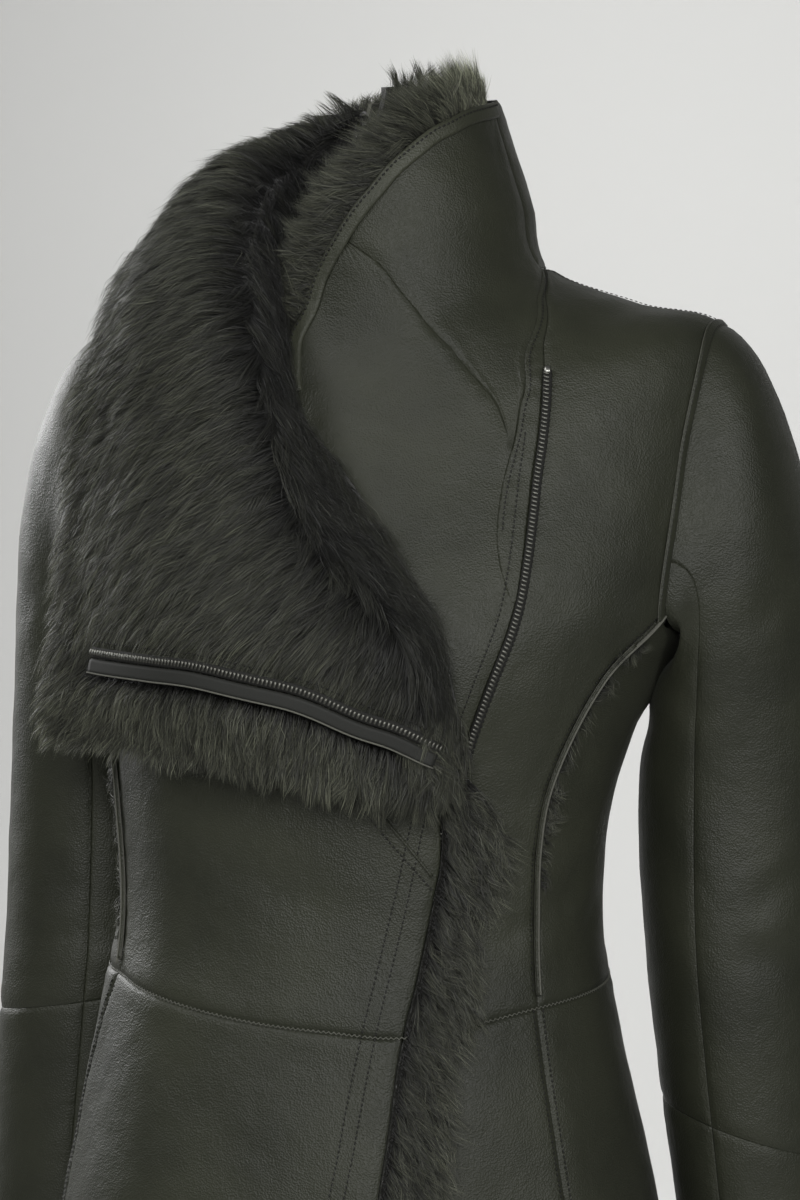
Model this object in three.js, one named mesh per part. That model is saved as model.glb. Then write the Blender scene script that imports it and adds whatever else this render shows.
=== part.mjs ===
// A shearling coat with an asymmetric zip front, in the hollow shape that it takes when worn.
// Millimetres, +Z up, the front faces -Y and the wearer's left is +X.
// The origin is at the base of the neck, midway between the shoulder seams, where the coat is held up.
import * as THREE from "three";

// Driving sizes
const leatherWall = 4; // skin with its dense clipped wool
const seamGap = 0.34;
const crossGap = 0.8; // across the waist, where two rows of corners differ
const overlapLift = 8; // the right front lies this far over the left front
const collarPile = 13; // long wool inside the collar
const lapelPile = 15; // skin with its long wool
const lapelRim = 4;
const foldLift = 15.7; // the fold of the lapel rises this much more
const degree = Math.PI / 180;

// Colours and finishes
const leather = { color: 0x3d3e38, roughness: 0.55, metalness: 0 };
const wool = { color: 0x3b3c36, roughness: 0.95, metalness: 0 };
const tape = { color: 0x2c2d29, roughness: 0.9, metalness: 0 };
const teeth = { color: 0x6d6e69, roughness: 0.35, metalness: 0.9 };

function table(columns, rows) {
  return rows.map((row) => Object.fromEntries(columns.map((name, i) => [name, row[i]])));
}

// The body of the coat: one closed ring for each level, from the hem up to the top of the collar.
const rings = table(
  ["level", "zFront", "zSide", "zBack", "halfWidth", "centreX", "sideY", "frontY", "backY"],
  [
    [0, -800, -800, -800, 216, -13, -55, -228, 116], // hem
    [1, -680, -680, -680, 200, -14, -58, -219, 102],
    [2, -564, -564, -564, 181, -17, -60, -204, 85], // hip
    [3, -500, -500, -500, 168, -17, -62, -191, 68],
    [4, -440, -440, -440, 156, -18, -62, -177, 50], // waist seam
    [5, -380, -380, -380, 145.5, -17, -60, -167, 44], // waist
    [6, -310, -310, -310, 151, -17, -54, -166, 58],
    [7, -240, -240, -240, 168, -11, -42, -171, 82], // bust
    [8, -190, -195, -180, 184, -4, -30, -160, 94],
    [9, -135, -110, -110, 192, 0, -15, -137, 96],
    [10, -85, -36, -50, 193, 0, -5, -119, 86], // shoulder points
    [11, -55, -19, -15, 140, 0, 0, -110, 74],
    [12, -25, 3, 12, 84, 0, -5, -104, 64], // neck seam
    [13, 40, 40, 45, 75, 0, -10, -98, 60],
    [14, 75, 75, 78, 64, 0, -14, -92, 58],
    [15, 106, 106, 110, 53, 1, -16, -86, 57], // top of the collar
    [16, 122, 124, 122, 51, 1, -16, -84, 56], // tips of its wool
  ],
);
const ringRoundness = 2 / 2.2;

// Smooth value of a column at a place in a table, through all its rows.
function columnAt(rows, key, column, at) {
  const last = rows.length - 1;
  let i = 0;
  while (i < last - 1 && (rows[i + 1][key] - at) * Math.sign(rows[last][key] - rows[0][key]) < 0) i += 1;
  const [a, b] = [rows[i], rows[i + 1]];
  const before = rows[Math.max(0, i - 1)];
  const after = rows[Math.min(last, i + 2)];
  const span = b[key] - a[key];
  const t = THREE.MathUtils.clamp((at - a[key]) / span, 0, 1);
  const slope = (from, to) => (to[column] - from[column]) / (to[key] - from[key]);
  const slopeA = i === 0 ? slope(a, b) : slope(before, b);
  const slopeB = i + 1 === last ? slope(a, b) : slope(a, after);
  const t2 = t * t;
  const t3 = t2 * t;
  return (
    (2 * t3 - 3 * t2 + 1) * a[column] +
    (t3 - 2 * t2 + t) * span * slopeA +
    (3 * t2 - 2 * t3) * b[column] +
    (t3 - t2) * span * slopeB
  );
}

function power(value, exponent) {
  return Math.sign(value) * Math.abs(value) ** exponent;
}

// A point of the outer surface. The angle is 0 at the front, 90 at the wearer's left and 180 at the back.
function ringPoint(angle, level) {
  const at = (column) => columnAt(rings, "level", column, level);
  const across = Math.sin(angle * degree);
  const along = Math.cos(angle * degree);
  const sideY = at("sideY");
  const sideZ = at("zSide");
  const facing = along >= 0 ? ["frontY", "zFront"] : ["backY", "zBack"];
  const reach = Math.abs(along) ** ringRoundness;
  return new THREE.Vector3(
    at("centreX") + at("halfWidth") * power(across, ringRoundness),
    sideY + (at(facing[0]) - sideY) * reach,
    sideZ + (at(facing[1]) - sideZ) * along * along,
  );
}

function normalOf(surface, u, v, stepU, stepV) {
  const du = surface(u + stepU, v).sub(surface(u - stepU, v));
  const dv = surface(u, v + stepV).sub(surface(u, v - stepV));
  return du.cross(dv).normalize();
}

// The same surface moved outwards by a lift.
function bodyPoint(angle, level, lift) {
  const safeLevel = THREE.MathUtils.clamp(level, 0.02, 15.98);
  const normal = normalOf(ringPoint, angle, safeLevel, 1, 0.02);
  return ringPoint(angle, level).addScaledVector(normal, lift);
}

// A closed solid between an outer and an inner grid of points, with its rim.
function wall(columns, rows, outer, inner) {
  const position = [];
  const index = [];
  const perLayer = (columns + 1) * (rows + 1);
  for (const layer of [outer, inner]) {
    for (let j = 0; j <= rows; j += 1) {
      for (let i = 0; i <= columns; i += 1) position.push(...layer(i / columns, j / rows).toArray());
    }
  }
  const at = (i, j, layer) => layer * perLayer + j * (columns + 1) + i;
  const quad = (a, b, c, d) => index.push(a, b, c, a, c, d);
  for (let j = 0; j < rows; j += 1) {
    for (let i = 0; i < columns; i += 1) {
      quad(at(i, j, 0), at(i + 1, j, 0), at(i + 1, j + 1, 0), at(i, j + 1, 0));
      quad(at(i, j, 1), at(i, j + 1, 1), at(i + 1, j + 1, 1), at(i + 1, j, 1));
    }
  }
  for (let i = 0; i < columns; i += 1) {
    quad(at(i, 0, 0), at(i, 0, 1), at(i + 1, 0, 1), at(i + 1, 0, 0));
    quad(at(i, rows, 0), at(i + 1, rows, 0), at(i + 1, rows, 1), at(i, rows, 1));
  }
  for (let j = 0; j < rows; j += 1) {
    quad(at(0, j, 0), at(0, j + 1, 0), at(0, j + 1, 1), at(0, j, 1));
    quad(at(columns, j, 0), at(columns, j, 1), at(columns, j + 1, 1), at(columns, j + 1, 0));
  }
  if (signedVolume(position, index) < 0) index.reverse();
  const geometry = new THREE.BufferGeometry();
  geometry.setAttribute("position", new THREE.Float32BufferAttribute(position, 3));
  geometry.setIndex(index);
  geometry.computeVertexNormals();
  return geometry;
}

function signedVolume(position, index) {
  const corner = (i) => new THREE.Vector3().fromArray(position, index[i] * 3);
  let volume = 0;
  for (let i = 0; i < index.length; i += 3) {
    volume += corner(i).dot(corner(i + 1).cross(corner(i + 2))) / 6;
  }
  return volume;
}

const coat = new THREE.Group();

function addPiece(name, geometry, finish) {
  const mesh = new THREE.Mesh(geometry, new THREE.MeshStandardMaterial(finish));
  mesh.name = name;
  coat.add(mesh);
}

// Seams that run down the body: the angle of each at a level.
function seam(rows) {
  const points = table(["level", "angle"], rows);
  return (level) => columnAt(points, "level", "angle", level);
}
const princessLeft = seam([
  [4, 54],
  [5, 56],
  [5.6, 55.7],
  [6.1, 56.2],
  [6.7, 60],
  [7.2, 65],
  [7.95, 73.6],
]);
const princessRight = seam([
  [4, -56],
  [4.5, -58],
  [5, -61],
  [6, -61],
  [6.6, -61],
  [7.2, -66],
  [7.95, -73.6],
]);
const skirtSeamLeft = seam([
  [0, 57],
  [2.4, 54.6],
  [3.4, 54],
  [4.3, 54],
]);
const skirtSeamRight = seam([
  [0, -64],
  [2, -67],
  [3.2, -69],
  [3.9, -64],
  [4.5, -58],
]);
const backSeam = seam([
  [0, 112],
  [3, 118],
  [4.5, 124],
  [6, 122],
  [7, 114],
  [7.95, 108.4],
]);

// The armhole is a rounded oval on the body's side, from the shoulder point to the underarm.
const armhole = { angle: 91, halfAngle: 20.5, level: 8.82, halfLevel: 1.18, notchLevel: 7.95, roundness: 3 };

function ovalReach(share) {
  return (1 - Math.min(1, Math.abs(share)) ** armhole.roundness) ** (1 / armhole.roundness);
}
function armholeAngle(level, backwards) {
  const reach = armhole.halfAngle * ovalReach((level - armhole.level) / armhole.halfLevel);
  return armhole.angle + (backwards ? reach : -reach);
}
function armholeBottom(angle) {
  return armhole.level - armhole.halfLevel * ovalReach((angle - armhole.angle) / armhole.halfAngle);
}
const shoulderAngle = 91;
const shoulderLevel = armhole.level + armhole.halfLevel;
const neckLevel = 12;

// The edge of a front or of the back from the waist up: seam, then armhole, then shoulder seam.
function outerEdge(below, side, backwards) {
  return (level) => {
    if (level < armhole.notchLevel) return below(level);
    if (level < shoulderLevel) return side * armholeAngle(level, backwards);
    return side * shoulderAngle;
  };
}

// The waist seam dips at the front.
const waistRows = table(
  ["angle", "level"],
  [
    [-180, 4.5],
    [-120, 4.5],
    [-90, 4.46],
    [-56, 4.42],
    [-40, 4.31],
    [-23, 4.18],
    [-8, 4.08],
    [5, 4.02],
    [19, 3.98],
    [35, 4.1],
    [54, 4.23],
    [90, 4.36],
    [125, 4.5],
    [180, 4.5],
  ],
);
function waistSeam(angle) {
  const wrapped = angle > 180 ? angle - 360 : angle;
  return columnAt(waistRows, "angle", "level", wrapped);
}

// A panel on a surface, between two edges and through rows of levels, with half of the gap taken off.
const flat = () => 0;
const skin = () => leatherWall;
function panel(name, finish, cut) {
  const { surface = bodyPoint, columns, left, right, bands, lift = flat, thickness = skin } = cut;
  const rows = bands.reduce((sum, band) => sum + band[0], 0);
  const levelAt = (angle, u, v) => {
    let row = v * rows;
    let k = 1;
    while (k < bands.length - 1 && row > bands[k][0] + 1e-9) {
      row -= bands[k][0];
      k += 1;
    }
    return THREE.MathUtils.lerp(bands[k - 1][1](angle, u), bands[k][1](angle, u), row / bands[k][0]);
  };
  const place = (u, v) => {
    let level = levelAt(0, u, v);
    let angle = 0;
    for (let pass = 0; pass < 25; pass += 1) {
      angle = THREE.MathUtils.lerp(left(level), right(level), u);
      level = (level + levelAt(angle, u, v)) / 2;
    }
    return [angle, level];
  };
  const layer = (inside) => (u, v) => {
    const pointAt = (s, t) => {
      const [angle, level] = place(s, t);
      return surface(angle, level, lift(angle, level) - inside * thickness(s, t, level));
    };
    const point = pointAt(u, v);
    const moved = point.clone();
    const takeIn = (neighbour, gap) => moved.addScaledVector(neighbour.sub(point).normalize(), gap);
    if (u === 0 || u === 1) takeIn(pointAt(u === 0 ? 0.05 : 0.95, v), seamGap / 2);
    if (v === 0 || v === 1) takeIn(pointAt(u, v === 0 ? 0.04 : 0.96), crossGap / 2);
    return moved;
  };
  addPiece(name, wall(columns, rows, layer(0), layer(1)), finish);
}

// A narrow strip sewn on along a path, on any surface.
function strip(name, finish, { surface = bodyPoint, path, count, halfWidth, low, high, offset = 0 }) {
  const centre = (t) => surface(...path(t), 0);
  const layer = (height) => (u, v) => {
    const middle = centre(u);
    const before = centre(Math.max(0, u - 0.5 / count));
    const after = centre(Math.min(1, u + 0.5 / count));
    const up = surface(...path(u), 5).sub(middle).normalize();
    const across = new THREE.Vector3().crossVectors(up, after.sub(before)).normalize();
    return middle.addScaledVector(across, offset + (v * 2 - 1) * halfWidth).addScaledVector(up, height);
  };
  addPiece(name, wall(count, 2, layer(high), layer(low)), finish);
}

const notch = () => armhole.notchLevel;
const shoulder = () => shoulderLevel;
const neck = () => neckLevel;
const hem = () => 0;
const lap = () => 9.55;
const bodyBands = [[0, waistSeam], [8, notch], [5, shoulder], [7, neck]];
const frontBands = [[0, waistSeam], [8, notch], [4, lap], [1, shoulder], [7, neck]];
const sideBands = (first, last) => [
  [0, waistSeam],
  [8, (angle, u) => armholeBottom(THREE.MathUtils.lerp(first, last, u))],
];
const notchFront = armholeAngle(armhole.notchLevel, false);
const notchBack = armholeAngle(armhole.notchLevel, true);
const skirtBands = [[0, hem], [8, waistSeam]];

// The right front lies over the left one, and comes back to the body at its side seam.
function rightFrontLift(angle) {
  return overlapLift * THREE.MathUtils.smoothstep(angle, -60, -30);
}
// Towards the fold of the lapel it rises from the chest.
function rightChestLift(angle, level) {
  const toFold = THREE.MathUtils.smoothstep(angle - frontEdgeRight(level), -16, 0);
  return rightFrontLift(angle) + foldLift * toFold * THREE.MathUtils.smoothstep(level, 6.4, 7.2);
}

const frontEdgeRight = seam([
  [0, 10],
  [1.2, 12],
  [2.5, 14.1],
  [3.24, 16.4],
  [3.88, 18.7],
  [4.6, 22.9],
  [5.25, 26.2],
  [5.6, 27.7],
  [6, 26],
  [6.5, 18],
  [7.1, 8],
  [7.8, -3],
  [8.6, -12],
  [9.5, -20],
  [10.3, -30],
  [11, -48],
  [11.6, -68],
  [12, -80],
]);

// The edge of the left front: bound at the neck, then hidden under the right front down to the hem.
const underlapEdge = seam([
  [0, -16],
  [4, -16],
  [7, -14],
  [9, -12],
  [10.3, -12.2],
  [10.95, -16.7],
  [11.65, -22.6],
  [12.2, -22.8],
  [12.45, -18.5],
  [12.61, -14],
]);
const zipLine = seam([
  [0, 6],
  [2.5, 10],
  [3.9, 15],
  [4.6, 19],
  [5.4, 24],
  [6, 29],
  [6.42, 30.4],
  [7.2, 32.5],
  [7.95, 31.7],
  [8.8, 30.2],
  [9.3, 29.8],
  [9.9, 30.2],
  [10.3, 32.8],
  [10.9, 42],
  [11.5, 60],
  [11.75, 74],
  [12, 88],
]);
const lapSeam = seam([
  [7.95, 31],
  [8.3, 27],
  [8.6, 25],
  [9.01, 24.4],
  [9.55, 25.4],
  [9.94, 26.6],
  [10.75, 34.5],
  [11.5, 56],
  [11.75, 70],
  [12, 84],
  [12.61, 82.5],
  [13.31, 81.6],
  [14.6, 84],
]);
// The dart that shapes the front of the collar, then the collar's bound edge.
const dartSeam = seam([
  [9.55, 24],
  [9.89, 22.1],
  [10.32, 20.2],
  [11.2, 19.7],
  [11.94, 17],
  [12.33, 7],
  [12.48, 0.5],
  [12.61, -9],
  [12.66, -12.2],
  [12.85, -6.4],
  [13.05, -0.8],
  [13.55, 11.2],
  [14.03, 27.1],
  [14.24, 39.6],
  [14.45, 54.9],
]);
const dartTop = 12.61;
const dartBands = [[1, () => 12.2], [1, () => 12.4], [1, () => 12.56]];
const collarTop = (angle) => 14.45 + 0.22 * THREE.MathUtils.smoothstep(angle, 54, 84);
const backCollarTop = (angle) => 14.67 + 0.33 * THREE.MathUtils.smoothstep(angle, 84, 120);

const backEdge = outerEdge(backSeam, 1, true);
panel("back", leather, {
  columns: 14,
  left: backEdge,
  right: (level) => 360 - backEdge(level),
  bands: bodyBands,
});
panel("side_left", leather, {
  columns: 6,
  left: princessLeft,
  right: backSeam,
  bands: sideBands(notchFront, notchBack),
});
panel("side_right", leather, {
  columns: 6,
  left: (level) => -backSeam(level),
  right: princessRight,
  bands: sideBands(notchBack, notchFront),
});
panel("front_left", leather, {
  columns: 8,
  left: zipLine,
  right: outerEdge(princessLeft, 1, false),
  bands: frontBands,
});
panel("front_left_centre", leather, {
  columns: 7,
  left: underlapEdge,
  right: (level) => {
    if (level < armhole.notchLevel) return zipLine(level);
    return level < lap() ? lapSeam(level) : dartSeam(level);
  },
  bands: [...frontBands, ...dartBands],
});
panel("neck_band", leather, {
  columns: 2,
  left: lapSeam,
  right: zipLine,
  bands: [[0, notch], ...frontBands.slice(2)],
});
panel("front_right", leather, {
  columns: 12,
  left: outerEdge(princessRight, -1, false),
  right: frontEdgeRight,
  bands: bodyBands,
  lift: rightChestLift,
});
panel("skirt_front_left", leather, { columns: 8, left: () => -16, right: skirtSeamLeft, bands: skirtBands });
panel("skirt_side_left", leather, { columns: 7, left: skirtSeamLeft, right: backSeam, bands: skirtBands });
panel("skirt_back", leather, {
  columns: 14,
  left: backSeam,
  right: (level) => 360 - backSeam(level),
  bands: skirtBands,
});
panel("skirt_side_right", leather, {
  columns: 7,
  left: (level) => -backSeam(level),
  right: skirtSeamRight,
  bands: skirtBands,
});
panel("skirt_front_right", leather, {
  columns: 9,
  left: skirtSeamRight,
  right: frontEdgeRight,
  bands: skirtBands,
  lift: rightFrontLift,
});
panel("collar_left", leather, {
  columns: 7,
  left: dartSeam,
  right: lapSeam,
  bands: [[0, lap], [1, shoulder], [7, neck], ...dartBands, [1, () => dartTop], [5, collarTop]],
});
panel("collar_back", leather, {
  columns: 12,
  left: lapSeam,
  right: () => 227.1,
  bands: [[0, () => neckLevel + 0.03], ...dartBands, [1, () => dartTop], [5, backCollarTop]],
});

// Sleeves: the head starts from the armhole and runs into a tube with one row for each section.
const armColumns = ["row", "x", "y", "z", "radiusX", "radiusY", "tilt"];
const arms = {
  left: table(armColumns, [
    [1, 200.5, 1, -222, 48.5, 67, 34],
    [2, 198.5, 8, -300, 58.5, 61, 8],
    [3, 199, 6, -400, 55, 59, 0],
    [4, 207, 10, -510, 53, 56, -16],
    [5, 219, 18, -640, 49, 52, 0],
  ]),
  right: table(armColumns, [
    [1, -215, 34, -216, 49, 62, 34],
    [2, -217, 45, -300, 56, 60, 8],
    [3, -220, 44, -400, 57, 58, 0],
    [4, -223, 40, -452, 57, 56, -8],
    [5, -240, 40, -640, 51, 52, 0],
  ]),
};
const armholeClearance = 2;

// A point of a sleeve. Around it, 0 is the outer side, 90 the front, 180 the side next to the body.
function sleeveSurface(side) {
  const rows = side > 0 ? arms.left : arms.right;
  const tube = (around, row) => {
    const at = (column) => columnAt(rows, "row", column, row);
    const out = Math.cos(around * degree);
    return new THREE.Vector3(
      at("x") + side * at("radiusX") * out,
      at("y") - at("radiusY") * Math.sin(around * degree),
      at("z") + at("tilt") * out,
    );
  };
  const surface = (around, row) => {
    if (row >= 1) return tube(around, row);
    const up = power(Math.cos(around * degree), 2 / armhole.roundness);
    const forward = power(Math.sin(around * degree), 2 / armhole.roundness);
    const angle = armhole.angle - armhole.halfAngle * forward;
    const start = bodyPoint(side * angle, armhole.level + armhole.halfLevel * up, armholeClearance);
    const end = tube(around, 1);
    const reach = start.distanceTo(end);
    const leave = new THREE.Vector3(side, 0, -0.15 - 0.35 * Math.max(0, up));
    leave.setLength(reach * (1.12 - 0.42 * Math.max(0, up)));
    const arrive = tube(around, 1.05).sub(end).setLength(reach * 0.95);
    const t = row;
    return start
      .multiplyScalar(2 * t ** 3 - 3 * t ** 2 + 1)
      .addScaledVector(leave, t ** 3 - 2 * t ** 2 + t)
      .addScaledVector(end, 3 * t ** 2 - 2 * t ** 3)
      .addScaledVector(arrive, t ** 3 - t ** 2);
  };
  return (around, row, lift) => {
    const safeRow = THREE.MathUtils.clamp(row, 0.012, 4.988);
    const normal = normalOf(surface, around, safeRow, 1, 0.01).multiplyScalar(side);
    return surface(around, row).addScaledVector(normal, lift);
  };
}
const sleeveFrontSeam = 105;
const sleeveBackSeam = 255;
for (const [label, side] of [["left", 1], ["right", -1]]) {
  const surface = sleeveSurface(side);
  const outer = { surface, columns: 14, left: () => sleeveBackSeam - 360, right: () => sleeveFrontSeam };
  const inner = { surface, columns: 10, left: () => sleeveFrontSeam, right: () => sleeveBackSeam };
  const upper = [[0, () => 0], [7, () => 1], [6, () => 4]];
  const lower = [[0, () => 4], [3, () => 5]];
  panel(`sleeve_${label}_outer`, leather, { ...outer, bands: upper });
  panel(`sleeve_${label}_inner`, leather, { ...inner, bands: upper });
  panel(`cuff_${label}_outer`, leather, { ...outer, bands: lower });
  panel(`cuff_${label}_inner`, leather, { ...inner, bands: lower });
}

// The lapel: sections of its woolly face, from the back of the neck round to the end of its zip.
const lapelRows = table(
  ["section", ...["inner", "crest", "fall", "edge"].flatMap((spot) => [`${spot}X`, `${spot}Y`, `${spot}Z`])],
  [
    [0, -48, 22, 22, -37, 20, 98, -46, 30, 106, -60, 42, 98],
    [1, -64, -6, 16, -66, -2, 72, -92, 12, 88, -128, 22, 66],
    [2, -62, -44, 4, -76, -44, 50, -122, -34, 56, -168, -24, 16],
    [3, -51, -100, -30, -66, -124, -8, -124, -112, -14, -170, -88, -40],
    [4, -34, -124, -81, -40, -164, -85, -112, -149, -96, -182, -100, -95],
    [5, -5, -137, -116, -18, -183, -140, -104, -174, -156, -182, -116, -154],
    [6, 28, -154, -158, 17, -200, -181, -83, -200, -212, -186, -130, -214],
    [7, 60, -168, -206, 48, -205, -215, -65, -210, -251, -191, -140, -249],
    [8, 76, -170, -268, 61, -192, -296, -38, -210, -284, -187, -146, -272],
  ],
);
const lapelSpots = [[0, "inner"], [0.22, "crest"], [0.6, "fall"], [1, "edge"]];

// Across the lapel the share is 0 at the opening, then the crest of the roll, and 1 at the free edge.
function lapelFace(share, section) {
  const spots = lapelSpots.map(([place, spot]) => ({
    place,
    x: columnAt(lapelRows, "section", `${spot}X`, section),
    y: columnAt(lapelRows, "section", `${spot}Y`, section),
    z: columnAt(lapelRows, "section", `${spot}Z`, section),
  }));
  const at = (axis) => columnAt(spots, "place", axis, share);
  return new THREE.Vector3(at("x"), at("y"), at("z"));
}
function lapelPoint(share, section, lift) {
  const u = THREE.MathUtils.clamp(share, 0.01, 0.99);
  const v = THREE.MathUtils.clamp(section, 0.01, 7.99);
  const normal = normalOf(lapelFace, u, v, 0.01, 0.01);
  return lapelFace(share, section).addScaledVector(normal, lift);
}
panel("lapel", wool, {
  surface: lapelPoint,
  columns: 14,
  left: () => 0,
  right: () => 1,
  bands: [[0, () => 0], [24, () => 8]],
  thickness: (u) => lapelRim + (lapelPile - lapelRim) * THREE.MathUtils.smoothstep(u, 0, 0.25),
});

// The zip of the lapel runs along its lower edge, with a leather guard below it.
const lapelZipRows = table(
  ["share", "section"],
  [
    [0.174, 7.77],
    [0.271, 7.59],
    [0.361, 7.4],
    [0.457, 6.98],
    [0.575, 6.45],
    [0.689, 6.28],
    [0.857, 6.22],
  ],
);
function lapelZipPath(t) {
  const share = THREE.MathUtils.lerp(0.174, 0.857, t);
  return [share, columnAt(lapelZipRows, "share", "section", share)];
}
strip("zip_right", teeth, {
  surface: lapelPoint,
  path: lapelZipPath,
  count: 20,
  halfWidth: 3,
  low: 0.7,
  high: 3.2,
});
strip("zip_guard", leather, {
  surface: lapelPoint,
  path: lapelZipPath,
  offset: 8,
  count: 20,
  halfWidth: 4.5,
  low: 0.7,
  high: 3,
});

const between = (from, to) => (t) => THREE.MathUtils.lerp(from, to, t);
function seamPath(line, from, to, shift = 0) {
  const level = between(from, to);
  return (t) => [line(level(t)) + shift, level(t)];
}
strip("zip_left", teeth, {
  path: seamPath(zipLine, 10.25, 0.2, 1),
  count: 60,
  halfWidth: 3,
  low: 0.6,
  high: 2.8,
});
strip("princess_ridge_left", leather, {
  path: seamPath(princessLeft, 4.35, 7.45),
  count: 24,
  halfWidth: 1.8,
  low: 0.6,
  high: 2.4,
});
strip("princess_ridge_right", leather, {
  path: seamPath(princessRight, 4.55, 7.45),
  count: 24,
  halfWidth: 1.8,
  low: 1,
  high: 2.8,
});

// A tape runs round each armhole, just outside the sleeve seam.
const armholeTapeShare = 1.16;
for (const [label, side] of [["left", 1], ["right", -1]]) {
  const path = (t) => {
    const turn = between(-138, 138)(t) * degree;
    const up = power(Math.cos(turn), 2 / armhole.roundness);
    const forward = power(Math.sin(turn), 2 / armhole.roundness);
    return [
      side * (armhole.angle - armhole.halfAngle * armholeTapeShare * forward),
      armhole.level + armhole.halfLevel * 1.08 * up,
    ];
  };
  strip(`armhole_band_${label}`, leather, { path, count: 48, halfWidth: 3, low: 0.8, high: 2.4 });
}

// The bound edge of the left collar.
const boundEdge = table(
  ["place", "angle", "level"],
  [
    [0, -12.4, 10.32],
    [1, -16.7, 10.95],
    [2, -22.6, 11.65],
    [3, -22.8, 12.2],
    [4, -18.5, 12.45],
    [5, -12.2, 12.66],
    [6, -6.4, 12.85],
    [7, -0.8, 13.05],
    [8, 11.2, 13.55],
    [9, 27.1, 14.03],
    [10, 39.6, 14.24],
    [11, 54.9, 14.45],
    [12, 83, 14.67],
  ],
);
strip("collar_binding", tape, {
  path: (t) => {
    const at = (column) => columnAt(boundEdge, "place", column, t * 12);
    return [at("angle") + 1.5, at("level") - 0.04];
  },
  count: 40,
  halfWidth: 3,
  low: 0.7,
  high: 2.6,
});

// Wool that stands past a cut edge.
const innerWool = { lift: () => -leatherWall - 1.9, thickness: () => collarPile };
panel("collar_fur_left", wool, {
  columns: 14,
  left: seam([
    [10, -15],
    [10.6, -24],
    [11.41, -36],
    [12, -41],
    [12.56, -41],
    [13.11, -19],
    [14, 6],
    [14.59, 24],
    [15.4, 40],
  ]),
  right: seam([
    [10, 4],
    [11, 20],
    [12, 60],
    [12.6, 90],
    [13.2, 96],
    [15.7, 96],
  ]),
  bands: [[0, () => 10], [12, () => 15.4]],
  ...innerWool,
});
panel("collar_fur_back", wool, {
  columns: 10,
  left: () => 98.6,
  right: () => 225,
  bands: [[0, () => 12.25], [7, () => 15.6]],
  ...innerWool,
});
panel("front_fur", wool, {
  columns: 3,
  left: (level) => frontEdgeRight(level) + 0.35,
  right: seam([
    [0, 18],
    [2.5, 25],
    [3.4, 28],
    [3.8, 28],
    [4.24, 34],
    [4.72, 36],
    [5.17, 36.5],
    [5.42, 41],
    [5.74, 43],
    [6.07, 38],
    [6.28, 31],
  ]),
  bands: [[0, () => 0], [30, () => 6.25]],
  lift: () => overlapLift,
  thickness: () => 4.6,
});

export default coat;
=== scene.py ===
import math
import time

import bmesh
import bpy
import numpy as np
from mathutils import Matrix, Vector


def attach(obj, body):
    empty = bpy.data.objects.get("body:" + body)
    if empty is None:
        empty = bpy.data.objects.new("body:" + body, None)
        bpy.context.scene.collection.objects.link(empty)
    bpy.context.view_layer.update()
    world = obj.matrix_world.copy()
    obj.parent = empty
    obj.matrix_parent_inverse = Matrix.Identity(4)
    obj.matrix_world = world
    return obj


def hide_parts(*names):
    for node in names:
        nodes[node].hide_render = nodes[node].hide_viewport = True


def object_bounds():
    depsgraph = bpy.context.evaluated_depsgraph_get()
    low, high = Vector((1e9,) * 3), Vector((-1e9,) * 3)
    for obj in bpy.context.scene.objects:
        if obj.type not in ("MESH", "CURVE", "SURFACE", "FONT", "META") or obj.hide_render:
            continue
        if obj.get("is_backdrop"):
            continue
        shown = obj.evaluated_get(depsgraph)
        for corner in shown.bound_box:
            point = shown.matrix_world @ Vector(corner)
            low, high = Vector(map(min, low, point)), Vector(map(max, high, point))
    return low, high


started = time.time()
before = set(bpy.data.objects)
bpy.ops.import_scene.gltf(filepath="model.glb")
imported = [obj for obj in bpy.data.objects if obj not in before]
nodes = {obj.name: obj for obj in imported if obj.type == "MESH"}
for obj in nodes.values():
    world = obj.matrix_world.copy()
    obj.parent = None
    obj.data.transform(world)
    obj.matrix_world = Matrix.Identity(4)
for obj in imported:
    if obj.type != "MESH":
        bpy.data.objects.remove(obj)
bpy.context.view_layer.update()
print("frame loaded", len(nodes), "nodes")


def stage(text):
    print(text, round(time.time() - started, 1), "s")


# Sections and seams of the coat, as in the part, in millimetres.
# rings: level, z front, z side, z back, half width, centre x, y side, y front, y back
bodyRings = [
    [0, -800, -800, -800, 216, -13, -55, -228, 116],  # hem
    [1, -680, -680, -680, 200, -14, -58, -219, 102],
    [2, -564, -564, -564, 181, -17, -60, -204, 85],  # hip
    [3, -500, -500, -500, 168, -17, -62, -191, 68],
    [4, -440, -440, -440, 156, -18, -62, -177, 50],  # waist seam
    [5, -380, -380, -380, 145.5, -17, -60, -167, 44],  # waist
    [6, -310, -310, -310, 151, -17, -54, -166, 58],
    [7, -240, -240, -240, 168, -11, -42, -171, 82],  # bust
    [8, -190, -195, -180, 184, -4, -30, -160, 94],
    [9, -135, -110, -110, 192, 0, -15, -137, 96],
    [10, -85, -36, -50, 193, 0, -5, -119, 86],  # shoulder points
    [11, -55, -19, -15, 140, 0, 0, -110, 74],
    [12, -25, 3, 12, 84, 0, -5, -104, 64],  # neck seam
    [13, 40, 40, 45, 75, 0, -10, -98, 60],
    [14, 75, 75, 78, 64, 0, -14, -92, 58],
    [15, 106, 106, 110, 53, 1, -16, -86, 57],  # top of the collar
    [16, 122, 124, 122, 51, 1, -16, -84, 56],  # tips of its wool
]
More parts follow.
